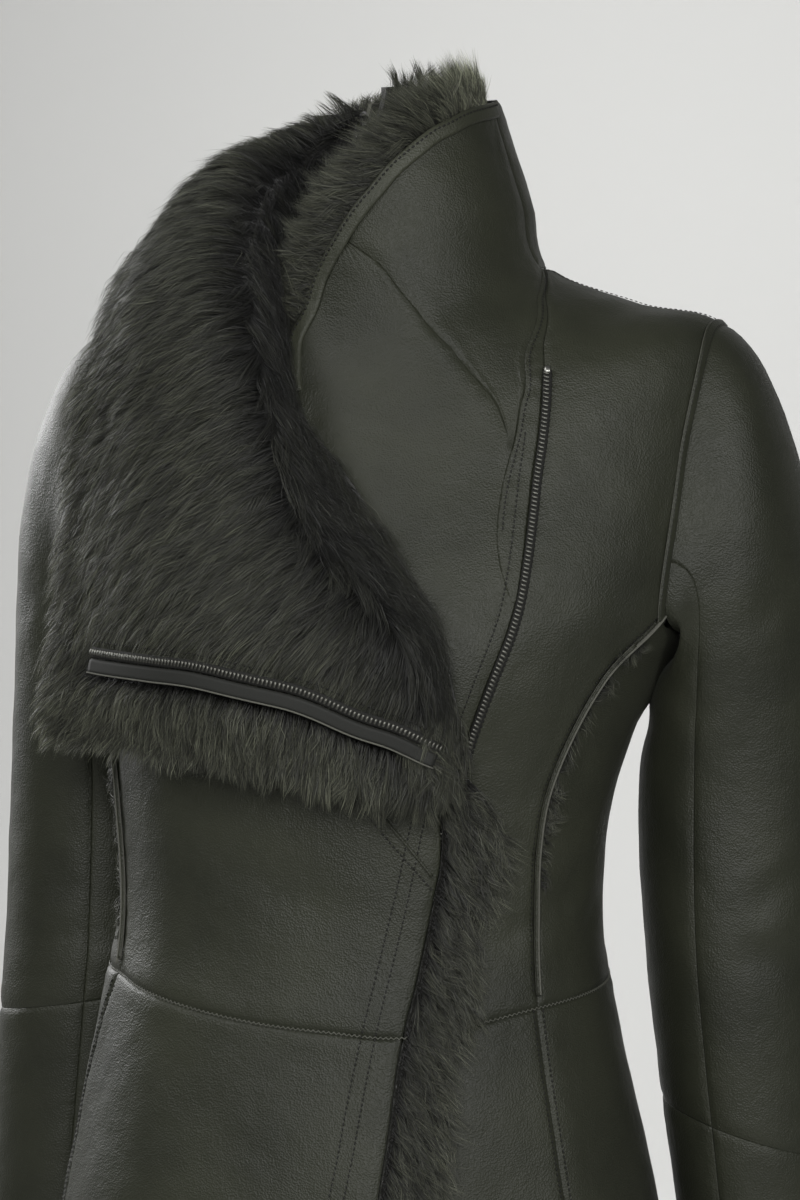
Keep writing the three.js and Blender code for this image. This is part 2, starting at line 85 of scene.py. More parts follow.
# seams: level, angle
princessLeft = [[4, 54], [5, 56], [5.6, 55.7], [6.1, 56.2], [6.7, 60], [7.2, 65], [7.95, 73.6]]
princessRight = [[4, -56], [4.5, -58], [5, -61], [6, -61], [6.6, -61], [7.2, -66], [7.95, -73.6]]
skirtSeamLeft = [[0, 57], [2.4, 54.6], [3.4, 54], [4.3, 54]]
skirtSeamRight = [[0, -64], [2, -67], [3.2, -69], [3.9, -64], [4.5, -58]]
backSeam = [[0, 112], [3, 118], [4.5, 124], [6, 122], [7, 114], [7.95, 108.4]]
frontEdgeRight = [
    [0, 10], [1.2, 12], [2.5, 14.1], [3.24, 16.4], [3.88, 18.7], [4.6, 22.9], [5.25, 26.2],
    [5.6, 27.7], [6, 26], [6.5, 18], [7.1, 8], [7.8, -3], [8.6, -12], [9.5, -20], [10.3, -30],
    [11, -48], [11.6, -68], [12, -80],
]
underlapEdge = [
    [0, -16], [4, -16], [7, -14], [9, -12], [10.3, -12.2], [10.95, -16.7], [11.65, -22.6],
    [12.2, -22.8], [12.45, -18.5], [12.61, -14],
]
zipLine = [
    [0, 6], [2.5, 10], [3.9, 15], [4.6, 19], [5.4, 24], [6, 29], [6.42, 30.4], [7.2, 32.5],
    [7.95, 31.7], [8.8, 30.2], [9.3, 29.8], [9.9, 30.2], [10.3, 32.8], [10.9, 42], [11.5, 60],
    [11.75, 74], [12, 88],
]
lapSeam = [
    [7.95, 31], [8.3, 27], [8.6, 25], [9.01, 24.4], [9.55, 25.4], [9.94, 26.6], [10.75, 34.5],
    [11.5, 56], [11.75, 70], [12, 84], [12.61, 82.5], [13.31, 81.6], [14.6, 84],
]
dartSeam = [
    [9.55, 24], [9.89, 22.1], [10.32, 20.2], [11.2, 19.7], [11.94, 17], [12.33, 7], [12.48, 0.5],
    [12.61, -9], [12.66, -12.2], [12.85, -6.4], [13.05, -0.8], [13.55, 11.2], [14.03, 27.1],
    [14.24, 39.6], [14.45, 54.9],
]
# waist: angle, level
waistRows = [
    [-180, 4.5], [-120, 4.5], [-90, 4.46], [-56, 4.42], [-40, 4.31], [-23, 4.18], [-8, 4.08],
    [5, 4.02], [19, 3.98], [35, 4.1], [54, 4.23], [90, 4.36], [125, 4.5], [180, 4.5],
]
# arms: row, centre x, y and z, half width, half depth, tilt
leftArm = [
    [1, 200.5, 1, -222, 48.5, 67, 34], [2, 198.5, 8, -300, 58.5, 61, 8],
    [3, 199, 6, -400, 55, 59, 0], [4, 207, 10, -510, 53, 56, -16], [5, 219, 18, -640, 49, 52, 0],
]
rightArm = [
    [1, -215, 34, -216, 49, 62, 34], [2, -217, 45, -300, 56, 60, 8], [3, -220, 44, -400, 57, 58, 0],
    [4, -223, 40, -452, 57, 56, -8], [5, -240, 40, -640, 51, 52, 0],
]
# lapel: section, then x, y and z at four shares from the inner edge to the outer
lapelRows = [
    [0, -48, 22, 22, -37, 20, 98, -46, 30, 106, -60, 42, 98],
    [1, -64, -6, 16, -66, -2, 72, -92, 12, 88, -128, 22, 66],
    [2, -62, -44, 4, -76, -44, 50, -122, -34, 56, -168, -24, 16],
    [3, -51, -100, -30, -66, -124, -8, -124, -112, -14, -170, -88, -40],
    [4, -34, -124, -81, -40, -164, -85, -112, -149, -96, -182, -100, -95],
    [5, -5, -137, -116, -18, -183, -140, -104, -174, -156, -182, -116, -154],
    [6, 28, -154, -158, 17, -200, -181, -83, -200, -212, -186, -130, -214],
    [7, 60, -168, -206, 48, -205, -215, -65, -210, -251, -191, -140, -249],
    [8, 76, -170, -268, 61, -192, -296, -38, -210, -284, -187, -146, -272],
]
# zip of the lapel: share, section
lapelZipRows = [
    [0.174, 7.77], [0.271, 7.59], [0.361, 7.4], [0.457, 6.98], [0.575, 6.45], [0.689, 6.28],
    [0.857, 6.22],
]
# bound edge of the collar: step, angle, level
boundEdge = [
    [0, -12.4, 10.32], [1, -16.7, 10.95], [2, -22.6, 11.65], [3, -22.8, 12.2], [4, -18.5, 12.45],
    [5, -12.2, 12.66], [6, -6.4, 12.85], [7, -0.8, 13.05], [8, 11.2, 13.55], [9, 27.1, 14.03],
    [10, 39.6, 14.24], [11, 54.9, 14.45], [12, 83, 14.67],
]
armhole = {
    "angle": 91, "halfAngle": 20.5, "level": 8.82, "halfLevel": 1.18, "notch": 7.95, "power": 3
}
shoulderLevel = 10.0
neckLevel = 12.0
mm = 0.001
skinThickness = 3.4


def hermite(t, span, start, end, slopeA, slopeB):
    t2, t3 = t * t, t * t * t
    return (
        (2 * t3 - 3 * t2 + 1) * start
        + (t3 - 2 * t2 + t) * span * slopeA
        + (3 * t2 - 2 * t3) * end
        + (t3 - t2) * span * slopeB
    )


def curveThrough(keys, pick, at):
    last = len(keys) - 1
    at = np.clip(at, keys[0], keys[-1])
    i = np.clip(np.searchsorted(keys, at, side="right") - 1, 0, last - 1)
    before, after = np.maximum(i - 1, 0), np.minimum(i + 2, last)
    span = keys[i + 1] - keys[i]
    slopeA = (pick(i + 1) - pick(before)) / (keys[i + 1] - keys[before])
    slopeB = (pick(after) - pick(i)) / (keys[after] - keys[i])
    return hermite((at - keys[i]) / span, span, pick(i), pick(i + 1), slopeA, slopeB)


def smoothAt(rows, column, at):
    rows = np.asarray(rows, float)
    return curveThrough(rows[:, 0], lambda k: rows[k, column], np.asarray(at, float))


def seamOf(rows):
    return lambda level: smoothAt(rows, 1, level)


def signedPower(value, exponent):
    return np.sign(value) * np.abs(value) ** exponent


def smoothStep(value, low, high):
    t = np.clip((value - low) / (high - low), 0, 1)
    return t * t * (3 - 2 * t)


def unit(vectors):
    return vectors / np.maximum(np.linalg.norm(vectors, axis=-1, keepdims=True), 1e-9)


def paired(a, b):
    return np.broadcast_arrays(np.asarray(a, float), np.asarray(b, float))


def scaled(vectors, amount):
    return vectors * np.asarray(amount, float)[..., None]


def bodyFace(angle, level):
    angle, level = paired(angle, level)
    ring = [None] + [smoothAt(bodyRings, k, level) for k in range(1, 9)]
    across, along = np.sin(np.radians(angle)), np.cos(np.radians(angle))
    reach = np.abs(along) ** (2 / 2.2)
    faceZ = np.where(along >= 0, ring[1], ring[3])
    faceY = np.where(along >= 0, ring[7], ring[8])
    return np.stack(
        [
            ring[5] + ring[4] * signedPower(across, 2 / 2.2),
            ring[6] + (faceY - ring[6]) * reach,
            ring[2] + (faceZ - ring[2]) * along * along,
        ],
        axis=-1,
    )


def normalsOf(surface, a, b, stepA, stepB):
    da = surface(a + stepA, b) - surface(a - stepA, b)
    db = surface(a, b + stepB) - surface(a, b - stepB)
    return unit(np.cross(da, db))


def bodyPoint(angle, level, lift=0.0):
    angle, level = paired(angle, level)
    normal = normalsOf(bodyFace, angle, np.clip(level, 0.02, 15.98), 1, 0.02)
    return bodyFace(angle, level) + scaled(normal, lift)


def armReach(share):
    return (1 - np.minimum(1, np.abs(share)) ** armhole["power"]) ** (1 / armhole["power"])


def armholeAngle(level, side):
    share = (level - armhole["level"]) / armhole["halfLevel"]
    return armhole["angle"] + side * armhole["halfAngle"] * armReach(share)


def armholeBottom(angle):
    share = (angle - armhole["angle"]) / armhole["halfAngle"]
    return armhole["level"] - armhole["halfLevel"] * armReach(share)


def outerEdge(below, side, back):
    def edge(level):
        level = np.asarray(level, float)
        hole = side * armholeAngle(level, back)
        upper = np.where(level < shoulderLevel, hole, side * armhole["angle"])
        return np.where(level < armhole["notch"], seamOf(below)(level), upper)

    return edge


def waistSeam(angle):
    angle = np.asarray(angle, float)
    return smoothAt(waistRows, 1, np.where(angle > 180, angle - 360, angle))


def tubeFace(side):
    rows = leftArm if side > 0 else rightArm

    def tube(around, row):
        x, y, z, wide, deep, tilt = [smoothAt(rows, k, row) for k in range(1, 7)]
        out, front = np.cos(np.radians(around)), np.sin(np.radians(around))
        return np.stack([x + side * wide * out, y - deep * front, z + tilt * out], axis=-1)

    def face(around, row):
        around, row = paired(around, row)
        up = signedPower(np.cos(np.radians(around)), 2 / armhole["power"])
        forward = signedPower(np.sin(np.radians(around)), 2 / armhole["power"])
        tuck = 0.13 * smoothStep(np.cos(np.radians(around)), -0.95, -0.6)
        start = bodyPoint(
            side * (armhole["angle"] - armhole["halfAngle"] * (1 + tuck) * forward),
            armhole["level"] + armhole["halfLevel"] * (1 + 0.4 * tuck) * up,
            1.4,
        )
        end = tube(around, 1.0)
        reach = np.linalg.norm(end - start, axis=-1)[..., None]
        crown = np.maximum(0, up)
        leave = unit(np.stack([side + 0 * up, 0 * up, -0.15 - 0.35 * crown], axis=-1)) * reach
        leave = leave * (1.12 - 0.42 * crown)[..., None]
        arrive = unit(tube(around, 1.05) - end) * reach * 0.95
        head = hermite(row[..., None], 1, start, end, leave, arrive)
        return np.where(row[..., None] >= 1, tube(around, np.maximum(row, 1)), head)

    return face


def sleevePoint(side):
    face = tubeFace(side)

    def point(around, row, lift=0.0):
        around, row = paired(around, row)
        normal = normalsOf(face, around, np.clip(row, 0.012, 4.988), 1, 0.01) * side
        return face(around, row) + scaled(normal, lift)

    return point


def lapelFace(share, section):
    share, section = paired(share, section)
    spots = np.array([0, 0.22, 0.6, 1])
    parts = []
    for axis in range(3):
        stack = np.stack([smoothAt(lapelRows, 1 + 3 * k + axis, section) for k in range(4)])
        pick = lambda k: np.take_along_axis(stack, k[None], axis=0)[0]
        parts.append(curveThrough(spots, pick, share))
    return np.stack(parts, axis=-1)


def lapelPoint(share, section, lift=0.0):
    share, section = paired(share, section)
    inner = np.clip(share, 0.01, 0.99), np.clip(section, 0.01, 7.99)
    return lapelFace(share, section) + scaled(normalsOf(lapelFace, *inner, 0.01, 0.01), lift)


# Materials
def linear(hexText):
    parts = [int(hexText[k : k + 2], 16) / 255 for k in (0, 2, 4)]
    return (*[c / 12.92 if c <= 0.04045 else ((c + 0.055) / 1.055) ** 2.4 for c in parts], 1)


def addNode(tree, kind, settings=None, links=None):
    node = tree.nodes.new(kind)
    for name, value in (settings or {}).items():
        if name in node.inputs:
            node.inputs[name].default_value = value
        else:
            setattr(node, name, value)
    for name, source in (links or {}).items():
        tree.links.new(source, node.inputs[name])
    return node


def newMaterial(name):
    material = bpy.data.materials.new(name)
    material.use_nodes = True
    material.node_tree.nodes.clear()
    return material, material.node_tree


def noiseNode(tree, scale, detail):
    place = addNode(tree, "ShaderNodeTexCoord").outputs["Object"]
    settings = {"Scale": scale, "Detail": detail}
    return addNode(tree, "ShaderNodeTexNoise", settings, {"Vector": place})


def bumpNode(tree, strength, distance, height, under=None):
    links = {"Height": height, "Normal": under.outputs["Normal"]} if under else {"Height": height}
    return addNode(tree, "ShaderNodeBump", {"Strength": strength, "Distance": distance}, links)


def roughRange(tree, low, high, source):
    spread = {"To Min": low, "To Max": high}
    return addNode(tree, "ShaderNodeMapRange", spread, {"Value": source}).outputs["Result"]


def finishMaterial(material, settings, links):
    tree = material.node_tree
    shader = addNode(tree, "ShaderNodeBsdfPrincipled", settings, links)
    addNode(tree, "ShaderNodeOutputMaterial", links={"Surface": shader.outputs["BSDF"]})
    return material


def rampBetween(tree, factor, dark, light, low=0.3, high=0.7):
    ramp = addNode(tree, "ShaderNodeValToRGB", links={"Fac": factor})
    for stop, position, colour in zip(ramp.color_ramp.elements, (low, high), (dark, light)):
        stop.position, stop.color = position, linear(colour)
    return ramp.outputs["Color"]


def nappaLeather(name, dark, light):
    material, tree = newMaterial(name)
    cloud, soft, fine = noiseNode(tree, 16, 4), noiseNode(tree, 60, 5), noiseNode(tree, 2400, 2)
    place = addNode(tree, "ShaderNodeTexCoord").outputs["Object"]
    grain = addNode(tree, "ShaderNodeTexVoronoi", {"Scale": 900.0}, {"Vector": place})
    bump = bumpNode(tree, 0.55, 0.0005, grain.outputs["Distance"])
    bump = bumpNode(tree, 0.25, 0.0001, fine.outputs["Fac"], bump)
    bump = bumpNode(tree, 0.5, 0.002, soft.outputs["Fac"], bump)
    return finishMaterial(
        material,
        {"Specular IOR Level": 0.36, "Sheen Weight": 0.02, "Sheen Roughness": 0.5},
        {
            "Base Color": rampBetween(tree, cloud.outputs["Fac"], dark, light, 0.3, 0.72),
            "Roughness": roughRange(tree, 0.4, 0.54, soft.outputs["Fac"]),
            "Normal": bump.outputs["Normal"],
        },
    )


def woolBase(name, dark, light):
    material, tree = newMaterial(name)
    tuft = noiseNode(tree, 420, 5).outputs["Fac"]
    return finishMaterial(
        material,
        {"Roughness": 0.95, "Specular IOR Level": 0.1, "Sheen Weight": 0.3},
        {
            "Base Color": rampBetween(tree, tuft, dark, light),
            "Normal": bumpNode(tree, 0.9, 0.002, tuft).outputs["Normal"],
        },
    )


def woolHair(name, root, tip):
    material, tree = newMaterial(name)
    along = addNode(tree, "ShaderNodeAttribute", {"attribute_name": "along"}).outputs["Fac"]
    strandToneAndPaintedLight = addNode(tree, "ShaderNodeAttribute", {"attribute_name": "strandToneAndPaintedLight"}).outputs["Fac"]
    # dark at the root, lighter at the tip: partly the wool's own colour, partly painted shade deep
    # in the pile and a painted sheen on the tips
    colour = rampBetween(tree, along, root, tip, 0.1, 1.0)
    # each strand's random tone and its painted light and shade scale the colour's value
    bright = addNode(tree, "ShaderNodeHueSaturation", links={"Color": colour, "Value": strandToneAndPaintedLight})
    return finishMaterial(
        material,
        {"Roughness": 0.5, "Specular IOR Level": 0.35, "Sheen Weight": 0.15},
        {"Base Color": bright.outputs["Color"]},
    )


def plainMaterial(name, colour, roughness, metallic=0.0, noiseScale=300.0, bumpSize=0.0001):
    material, tree = newMaterial(name)
    grain = noiseNode(tree, noiseScale, 3).outputs["Fac"]
    low, high = max(roughness - 0.08, 0.05), min(roughness + 0.08, 1.0)
    return finishMaterial(
        material,
        {"Base Color": linear(colour), "Metallic": metallic},
        {
            "Roughness": roughRange(tree, low, high, grain),
            "Normal": bumpNode(tree, 0.4, bumpSize, grain).outputs["Normal"],
        },
    )


leather = nappaLeather("NappaLeather", "292b21", "34362a")
bindingLeather = nappaLeather("BindingLeather", "33352a", "404235")
suedeEdge = plainMaterial("RawSkinEdge", "62625a", 0.9, 0.0, 900.0, 0.0003)
shortWool = woolBase("ClippedWool", "1c1c18", "2e2e28")
guardLeather = plainMaterial("GuardLeather", "20211d", 0.72, 0.0, 1400.0, 0.0002)
longWoolBase = woolBase("WoolUndercoat", "10100d", "1c1c18")
longWool = woolHair("LongWool", "12120d", "585a4c")
# topstitch thread drawn near black: partly its own dark colour, partly painted shade for the small
# dimples the stitches sit in
thread = plainMaterial("DarkThread", "10100d", 0.6, 0.0, 2500.0, 0.0001)
seamThread = plainMaterial("SeamThread", "5a5b52", 0.55, 0.0, 2500.0, 0.0001)
stopMetal = plainMaterial("StopMetal", "a8a8a2", 0.35, 1.0, 1500.0, 0.00003)
zipMetal = plainMaterial("DarkSteel", "6a6a64", 0.42, 1.0, 1500.0, 0.00003)
zipTape = plainMaterial("WovenTape", "1e1e1b", 0.85, 0.0, 1800.0, 0.0002)
stage("materials made")


# Meshes
def meshFrom(bm, name):
    for face in bm.faces:
        face.smooth = True
    mesh = bpy.data.meshes.new(name)
    bm.to_mesh(mesh)
    bm.free()
    return mesh


def shellObject(name, outer, inner, materials):
    # two skins joined along their rim, with a material each
    rows, columns = outer.shape[:2]
    total = rows * columns
    bm = bmesh.new()
    for side in range(2):
        bmesh.ops.create_grid(bm, x_segments=columns - 1, y_segments=rows - 1, size=0.5)
    bm.verts.ensure_lookup_table()
    bm.faces.ensure_lookup_table()
    half = len(bm.faces) // 2
    for face in bm.faces[half:]:
        face.normal_flip()
        face.material_index = 1
    index = np.arange(total).reshape(rows, columns)
    rim = [*index[0, :-1], *index[:-1, -1], *index[-1, :0:-1], *index[:0:-1, 0]]
    verts = list(bm.verts)
    for a, b in zip(rim, rim[1:] + rim[:1]):
        face = bm.faces.new((verts[b], verts[a], verts[a + total], verts[b + total]))
        face.material_index = 2
    mesh = meshFrom(bm, name)
    points = np.concatenate([outer.reshape(-1, 3), inner.reshape(-1, 3)])
    mesh.vertices.foreach_set("co", (points * mm).ravel())
    return sceneObject(name, mesh, materials)


def placed(name, data):
    piece = bpy.data.objects.new(name, data)
    bpy.context.scene.collection.objects.link(piece)
    return piece


def sceneObject(name, mesh, materials):
    mesh.update()
    for material in materials:
        mesh.materials.append(material)
    piece = placed(name, mesh)
    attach(piece, "root")
    return piece


def stampObject(name, template, places, materials):
    # places: n x 4 x 3 of right, along, up, origin
    corners = np.array([v.co for v in template.verts])
    faces = [[v.index for v in f.verts] for f in template.faces]
    count = len(corners)
    points = np.einsum("ck,nkj->ncj", corners, places[:, :3]) + places[:, 3:4]
    listed = [[k + count * n for k in face] for n in range(len(places)) for face in faces]
    mesh = bpy.data.meshes.new(name)
    mesh.from_pydata((points.reshape(-1, 3) * mm).tolist(), [], listed)
    mesh.polygons.foreach_set("use_smooth", [True] * len(listed))
    return sceneObject(name, mesh, materials)


def flatCut(points):
    across = np.linalg.norm(np.diff(points, axis=1), axis=-1).sum(axis=1).max()
    along = np.linalg.norm(np.diff(points, axis=0), axis=-1).sum(axis=0).max()
    one = np.cross(points[1:, 1:] - points[:-1, :-1], points[1:, :-1] - points[:-1, 1:])
    area = np.linalg.norm(one, axis=-1).sum() / 2
    return across / 1000, along / 1000, min(area, across * along) / 1e6


def spacedShares(length, step, border):
    fine = [d / length for d in border if d < length * 0.3]
    count = max(int((1 - 2 * fine[-1]) * length / step), 3)
    middle = np.linspace(fine[-1], 1 - fine[-1], count + 1)
    return np.array(fine[:-1] + list(middle) + [1 - f for f in reversed(fine[:-1])])


def placeOn(cut, u, v):
    u, v = np.broadcast_arrays(u, v)
    level = 0.5 * (cut["bottom"](0 * u, u) + cut["top"](0 * u, u)) + 0 * v
    for step in range(30):
        angle = cut["left"](level) * (1 - u) + cut["right"](level) * u
        level = (level + cut["bottom"](angle, u) * (1 - v) + cut["top"](angle, u) * v) / 2
    return angle, level


# Soft troughs pressed into the leather: x, y and z of two ends, then width and depth.
# A negative depth is a ridge.
folds = [
    [128, -86, -352, 84, -140, -392, 7, 2.2],
    [136, -60, -372, 96, -128, -418, 8, 1.8],
    [140, -70, -330, 110, -112, -345, 8, -1.2],
    [-150, -80, -345, -118, -128, -372, 8, 2.0],
    [-160, -60, -392, -120, -128, -408, 9, 1.6],
    [-60, -160, -350, 10, -172, -372, 14, 1.4],
    [-90, -150, -395, -10, -168, -405, 12, 1.2],
    [60, -150, -130, 48, -160, -210, 9, 1.4],
    [86, -150, -184, 89, -150, -204, 4.5, 2.2],
    [170, -50, -150, 140, -110, -205, 10, 1.8],
    [150, -84, -110, 120, -118, -150, 12, 1.0],
    [-120, 30, -360, -30, 46, -372, 10, 2.2],
    [100, 30, -350, 20, 46, -385, 9, 2.0],
    [-90, 40, -400, 60, 50, -408, 11, 1.6],
    [-150, 60, -190, -60, 84, -250, 12, 1.6],
    [150, 60, -190, 70, 84, -245, 11, 1.8],
    [-40, -200, -560, -50, -228, -790, 26, 4.0],
    [100, -170, -520, 130, -190, -790, 24, 4.5],
    [-150, -110, -520, -185, -130, -790, 24, 4.0],
    [150, 20, -520, 185, 40, -790, 26, 4.0],
    [-60, 80, -540, -70, 112, -790, 28, 4.5],
    [60, 80, -560, 80, 110, -790, 24, 3.5],
    [262, 0, -330, 222, -52, -372, 8, 2.2],
    [258, -10, -420, 214, -54, -400, 8, 2.4],
    [255, 0, -372, 226, -48, -388, 7, -1.4],
    [250, -40, -185, 206, -62, -215, 10, 1.8],
    [170, -40, -232, 190, -58, -262, 7, 2.0],
    [-262, 20, -340, -222, -14, -378, 8, 2.2],
    [-264, 30, -420, -216, -12, -405, 8, 2.0],
    [-255, -10, -190, -214, -28, -222, 10, 1.8],
    [156, -14, -264, 170, -8, -212, 30, -5.0],
    [215, 60, -370, 255, 40, -395, 9, 2.4],
    [-215, 100, -372, -258, 74, -398, 9, 2.4],
]


def foldDepth(points):
    total = np.zeros(points.shape[:-1])
    for *ends, width, depth in folds:
        a, b = np.array(ends, float).reshape(2, 3)
        axis = b - a
        t = np.clip(((points - a) @ axis) / (axis @ axis), -0.25, 1.25)
        gap = np.linalg.norm(points - a - t[..., None] * axis, axis=-1)
        fade = smoothStep(t, -0.25, 0.3) * (1 - smoothStep(t, 0.7, 1.25))
        total += depth * fade * np.exp(-((gap / width) ** 2))
    x, y, z = points[..., 0], points[..., 1], points[..., 2]
    total += 0.35 * np.sin(x / 17 + z / 29 + 0.4) * np.sin(y / 23 - z / 19)
    total += 0.22 * np.sin(x / 9 - z / 13 + 1.7) * np.sin(y / 11 + z / 9 + 0.6)
    return total


def runLength(points):
    return np.linalg.norm(np.diff(points, axis=0), axis=1).sum()


def noLift(angle, level):
    return 0 * angle


def panelPoints(cut):
    surface, lift = cut.get("surface", bodyPoint), cut.get("lift", noLift)
    ends = np.linspace(0, 1, 25)
    width = runLength(surface(*placeOn(cut, ends, 0 * ends + 0.5)))
    height = runLength(surface(*placeOn(cut, 0 * ends + 0.5, ends)))
    border = [0, 1.0, 2.2, 3.6, 5.5]
    us = spacedShares(width, cut.get("step", 6), border)
    vs = spacedShares(height, cut.get("step", 6), border)
    u, v = np.meshgrid(us, vs)
    a, b = placeOn(cut, u, v)
    raised = lift(a, b)
    base = surface(a, b, raised)
    normal = unit(surface(a, b, raised + 1.0) - base)
    fromSide = np.minimum(u, 1 - u) * width
    fromEnd = np.minimum(v, 1 - v) * height
    near = np.minimum(fromSide, fromEnd)
    dip = cut.get("dip", 1.3) * (1 - smoothStep(near, 0, 4.5)) ** 1.5
    puff = 0.5 * smoothStep(near, 3, 9) * (1 - smoothStep(near, 9, 20))
    quiet = smoothStep(near, 0, 6) * 0.6 + 0.4
    run = np.where(fromSide < fromEnd, v * height, u * width)
    ripple = np.sin(run / 2.6 + 2 * np.sin(run / 31))
    pucker = 0.32 * np.exp(-near / 9) * smoothStep(near, 0, 3) * ripple
    seam = cut["seam"](a, b) if "seam" in cut else 1.0
    shift = (puff - dip + pucker) * seam - foldDepth(base) * quiet
    return base + normal * shift[..., None], normal


def rightLift(angle):
    return 8 * smoothStep(angle, -60, -30)


def rightChestLift(angle, level):
    toFold = smoothStep(angle - seamOf(frontEdgeRight)(level), -16, 0)
    return rightLift(angle) + 15.7 * toFold * smoothStep(level, 6.4, 7.2)


def centreRight(level):
    upper = np.where(level < 9.55, seamOf(lapSeam)(level), seamOf(dartSeam)(level))
    return np.where(level < armhole["notch"], seamOf(zipLine)(level), upper)


def centreSeam(angle, level):
    hidden = smoothStep(angle, 18, 20) * smoothStep(level, 7.7, 7.9)
    return 1 - hidden * (1 - smoothStep(level, 8.45, 8.75))


def fixed(value):
    return lambda angle, u: value + 0 * angle


def column(angle):
    return lambda level: angle + 0 * level


def waist(angle, u):
    return waistSeam(angle)


def armholeFloor(start, end):
    return lambda angle, u: armholeBottom(start + (end - start) * u)


notchFront, notchBack = armholeAngle(armhole["notch"], -1), armholeAngle(armhole["notch"], 1)
backEdge, backLeft = outerEdge(backSeam, 1, 1), seamOf(backSeam)
backRight = lambda level: -backLeft(level)
skirtLeft, skirtRight = seamOf(skirtSeamLeft), seamOf(skirtSeamRight)
neck, hem = fixed(neckLevel), fixed(0)


def panel(left, right, bottom, top, step=6, **more):
    return {"left": left, "right": right, "bottom": bottom, "top": top, "step": step, **more}


panels = {
    "back": panel(backEdge, lambda level: 360 - backEdge(level), waist, neck, 9),
    "side_left": panel(
        seamOf(princessLeft), backLeft, waist, armholeFloor(notchFront, notchBack)
    ),
    "side_right": panel(
        backRight, seamOf(princessRight), waist, armholeFloor(notchBack, notchFront)
    ),
    "front_left": panel(seamOf(zipLine), outerEdge(princessLeft, 1, -1), waist, neck, 5),
    "front_left_centre": panel(
        seamOf(underlapEdge), centreRight, waist, fixed(12.63), 5, dip=0.5, seam=centreSeam
    ),
    "neck_band": panel(
        seamOf(lapSeam), seamOf(zipLine), fixed(armhole["notch"]), neck, 3, dip=0.6,
        seam=lambda angle, level: smoothStep(level, 8.45, 8.75),
    ),
    "front_right": panel(
        outerEdge(princessRight, -1, -1), seamOf(frontEdgeRight), waist, neck, 5,
        lift=rightChestLift,
    ),
    "skirt_front_left": panel(column(-16), skirtLeft, hem, waist),
    "skirt_side_left": panel(skirtLeft, backLeft, hem, waist),
    "skirt_back": panel(backLeft, lambda level: 360 - backLeft(level), hem, waist, 10),
    "skirt_side_right": panel(backRight, skirtRight, hem, waist),
    "skirt_front_right": panel(
        skirtRight, seamOf(frontEdgeRight), hem, waist,
        lift=lambda angle, level: rightLift(angle),
    ),
    "collar_left": panel(
        seamOf(dartSeam), seamOf(lapSeam), fixed(9.36),
        lambda angle, u: 14.45 + 0.22 * smoothStep(angle, 54, 84), 4, dip=0.5,
    ),
    "collar_back": panel(
        seamOf(lapSeam), column(227.1), fixed(12.03),
        lambda angle, u: 14.67 + 0.33 * smoothStep(angle, 84, 120),
    ),
}
for label, side in (("left", 1), ("right", -1)):
    for part, low, high in (("sleeve", 0, 4), ("cuff", 4, 5)):
        for face, start, end in (("outer", -105, 105), ("inner", 105, 255)):
            panels[f"{part}_{label}_{face}"] = panel(
                column(start), column(end), fixed(low), fixed(high), 7, dip=0.7,
                surface=sleevePoint(side),
                seam=lambda around, row: 0.1 + 0.9 * smoothStep(row, 0.75, 1.2),
            )


def declareSheet(piece, points):
    width, length, area = flatCut(points)
    if min(width, length) < 0.01:
        return
    share = min(max(area / (width * length), 0.3), 1)
    area = share * width * length


for name, cut in panels.items():
    outer, normal = panelPoints(cut)
    if cut.get("surface") and "right" in name:
        outer, normal = outer[:, ::-1], normal[:, ::-1]
    inner = outer - normal * skinThickness
    piece = shellObject(name + "Shell", outer, inner, [leather, shortWool, suedeEdge])
    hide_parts(name)
    declareSheet(piece, outer)
stage("leather panels made")


# Lapel, collar and front facing: the undercoat on its skin
def lapelDepth(share):
    return 4 + 11 * smoothStep(share, 0, 0.25)


def tuftPattern(points, size):
    x, y, z = points[..., 0] / size, points[..., 1] / size, points[..., 2] / size
    rows = np.sin(x * 1.3 + 1.1 * np.sin(z * 1.7))
    return rows * np.sin(y * 1.5 + z * 1.9 + 0.8 * np.sin(x * 2.1))


def lapelShell():
    u, v = np.meshgrid(np.linspace(0, 1, 46), np.linspace(0, 8, 72))
    v = v * (1 - 0.035 * smoothStep(u, 0.25, 0.5))
    face = lapelPoint(u, v)
    normal = unit(lapelPoint(u, v, 1.0) - face)
    depth = lapelDepth(u)
    edge = smoothStep(np.minimum(np.minimum(1 - u, u) * 150, np.minimum(v, 8 - v) * 50), 0, 9)
    sink = depth * (0.62 - 0.1 * edge)
    tufts = 1.2 * tuftPattern(face, 7) * edge
    outer = face - scaled(normal, sink) + scaled(normal, tufts)
    inner = face - scaled(normal, depth - 0.05)
    piece = shellObject("lapelUndercoat", outer, inner, [longWoolBase, leather, longWoolBase])
    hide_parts("lapel")
    return piece, outer


lapelPiece, lapelOuter = lapelShell()
declareSheet(lapelPiece, lapelOuter)


def rowsOf(rows):
    keys, values = zip(*rows)
    return lambda level: np.interp(level, keys, values)


wools = {
    "collar_fur_left": {
        "left": [
            [10, -15], [10.6, -24], [11.41, -36], [12, -41], [12.56, -41], [13.11, -19], [14, 6],
            [14.59, 24], [15.4, 40],
        ],
        "right": [[10, 4], [11, 20], [12, 60], [12.6, 90], [13.2, 96], [15.7, 96]],
        "levels": (10, 15.4),
        "lift": -5.9,
        "depth": 13,
    },
    "collar_fur_back": {
        "left": [[12.25, 98.6], [15.6, 98.6]],
        "right": [[12.25, 225], [15.6, 225]],
        "levels": (12.25, 15.6),
        "lift": -5.9,
        "depth": 13,
    },
    "front_fur": {
        "left": [[0, 10.35], [6.25, 22]],
        "right": [
            [0, 18], [2.5, 25], [3.4, 28], [3.8, 28], [4.24, 34], [4.72, 36], [5.17, 36.5],
            [5.42, 41], [5.74, 43], [6.07, 38], [6.28, 31],
        ],
        "levels": (0, 6.25),
        "lift": 8,
        "depth": 4.6,
    },
}


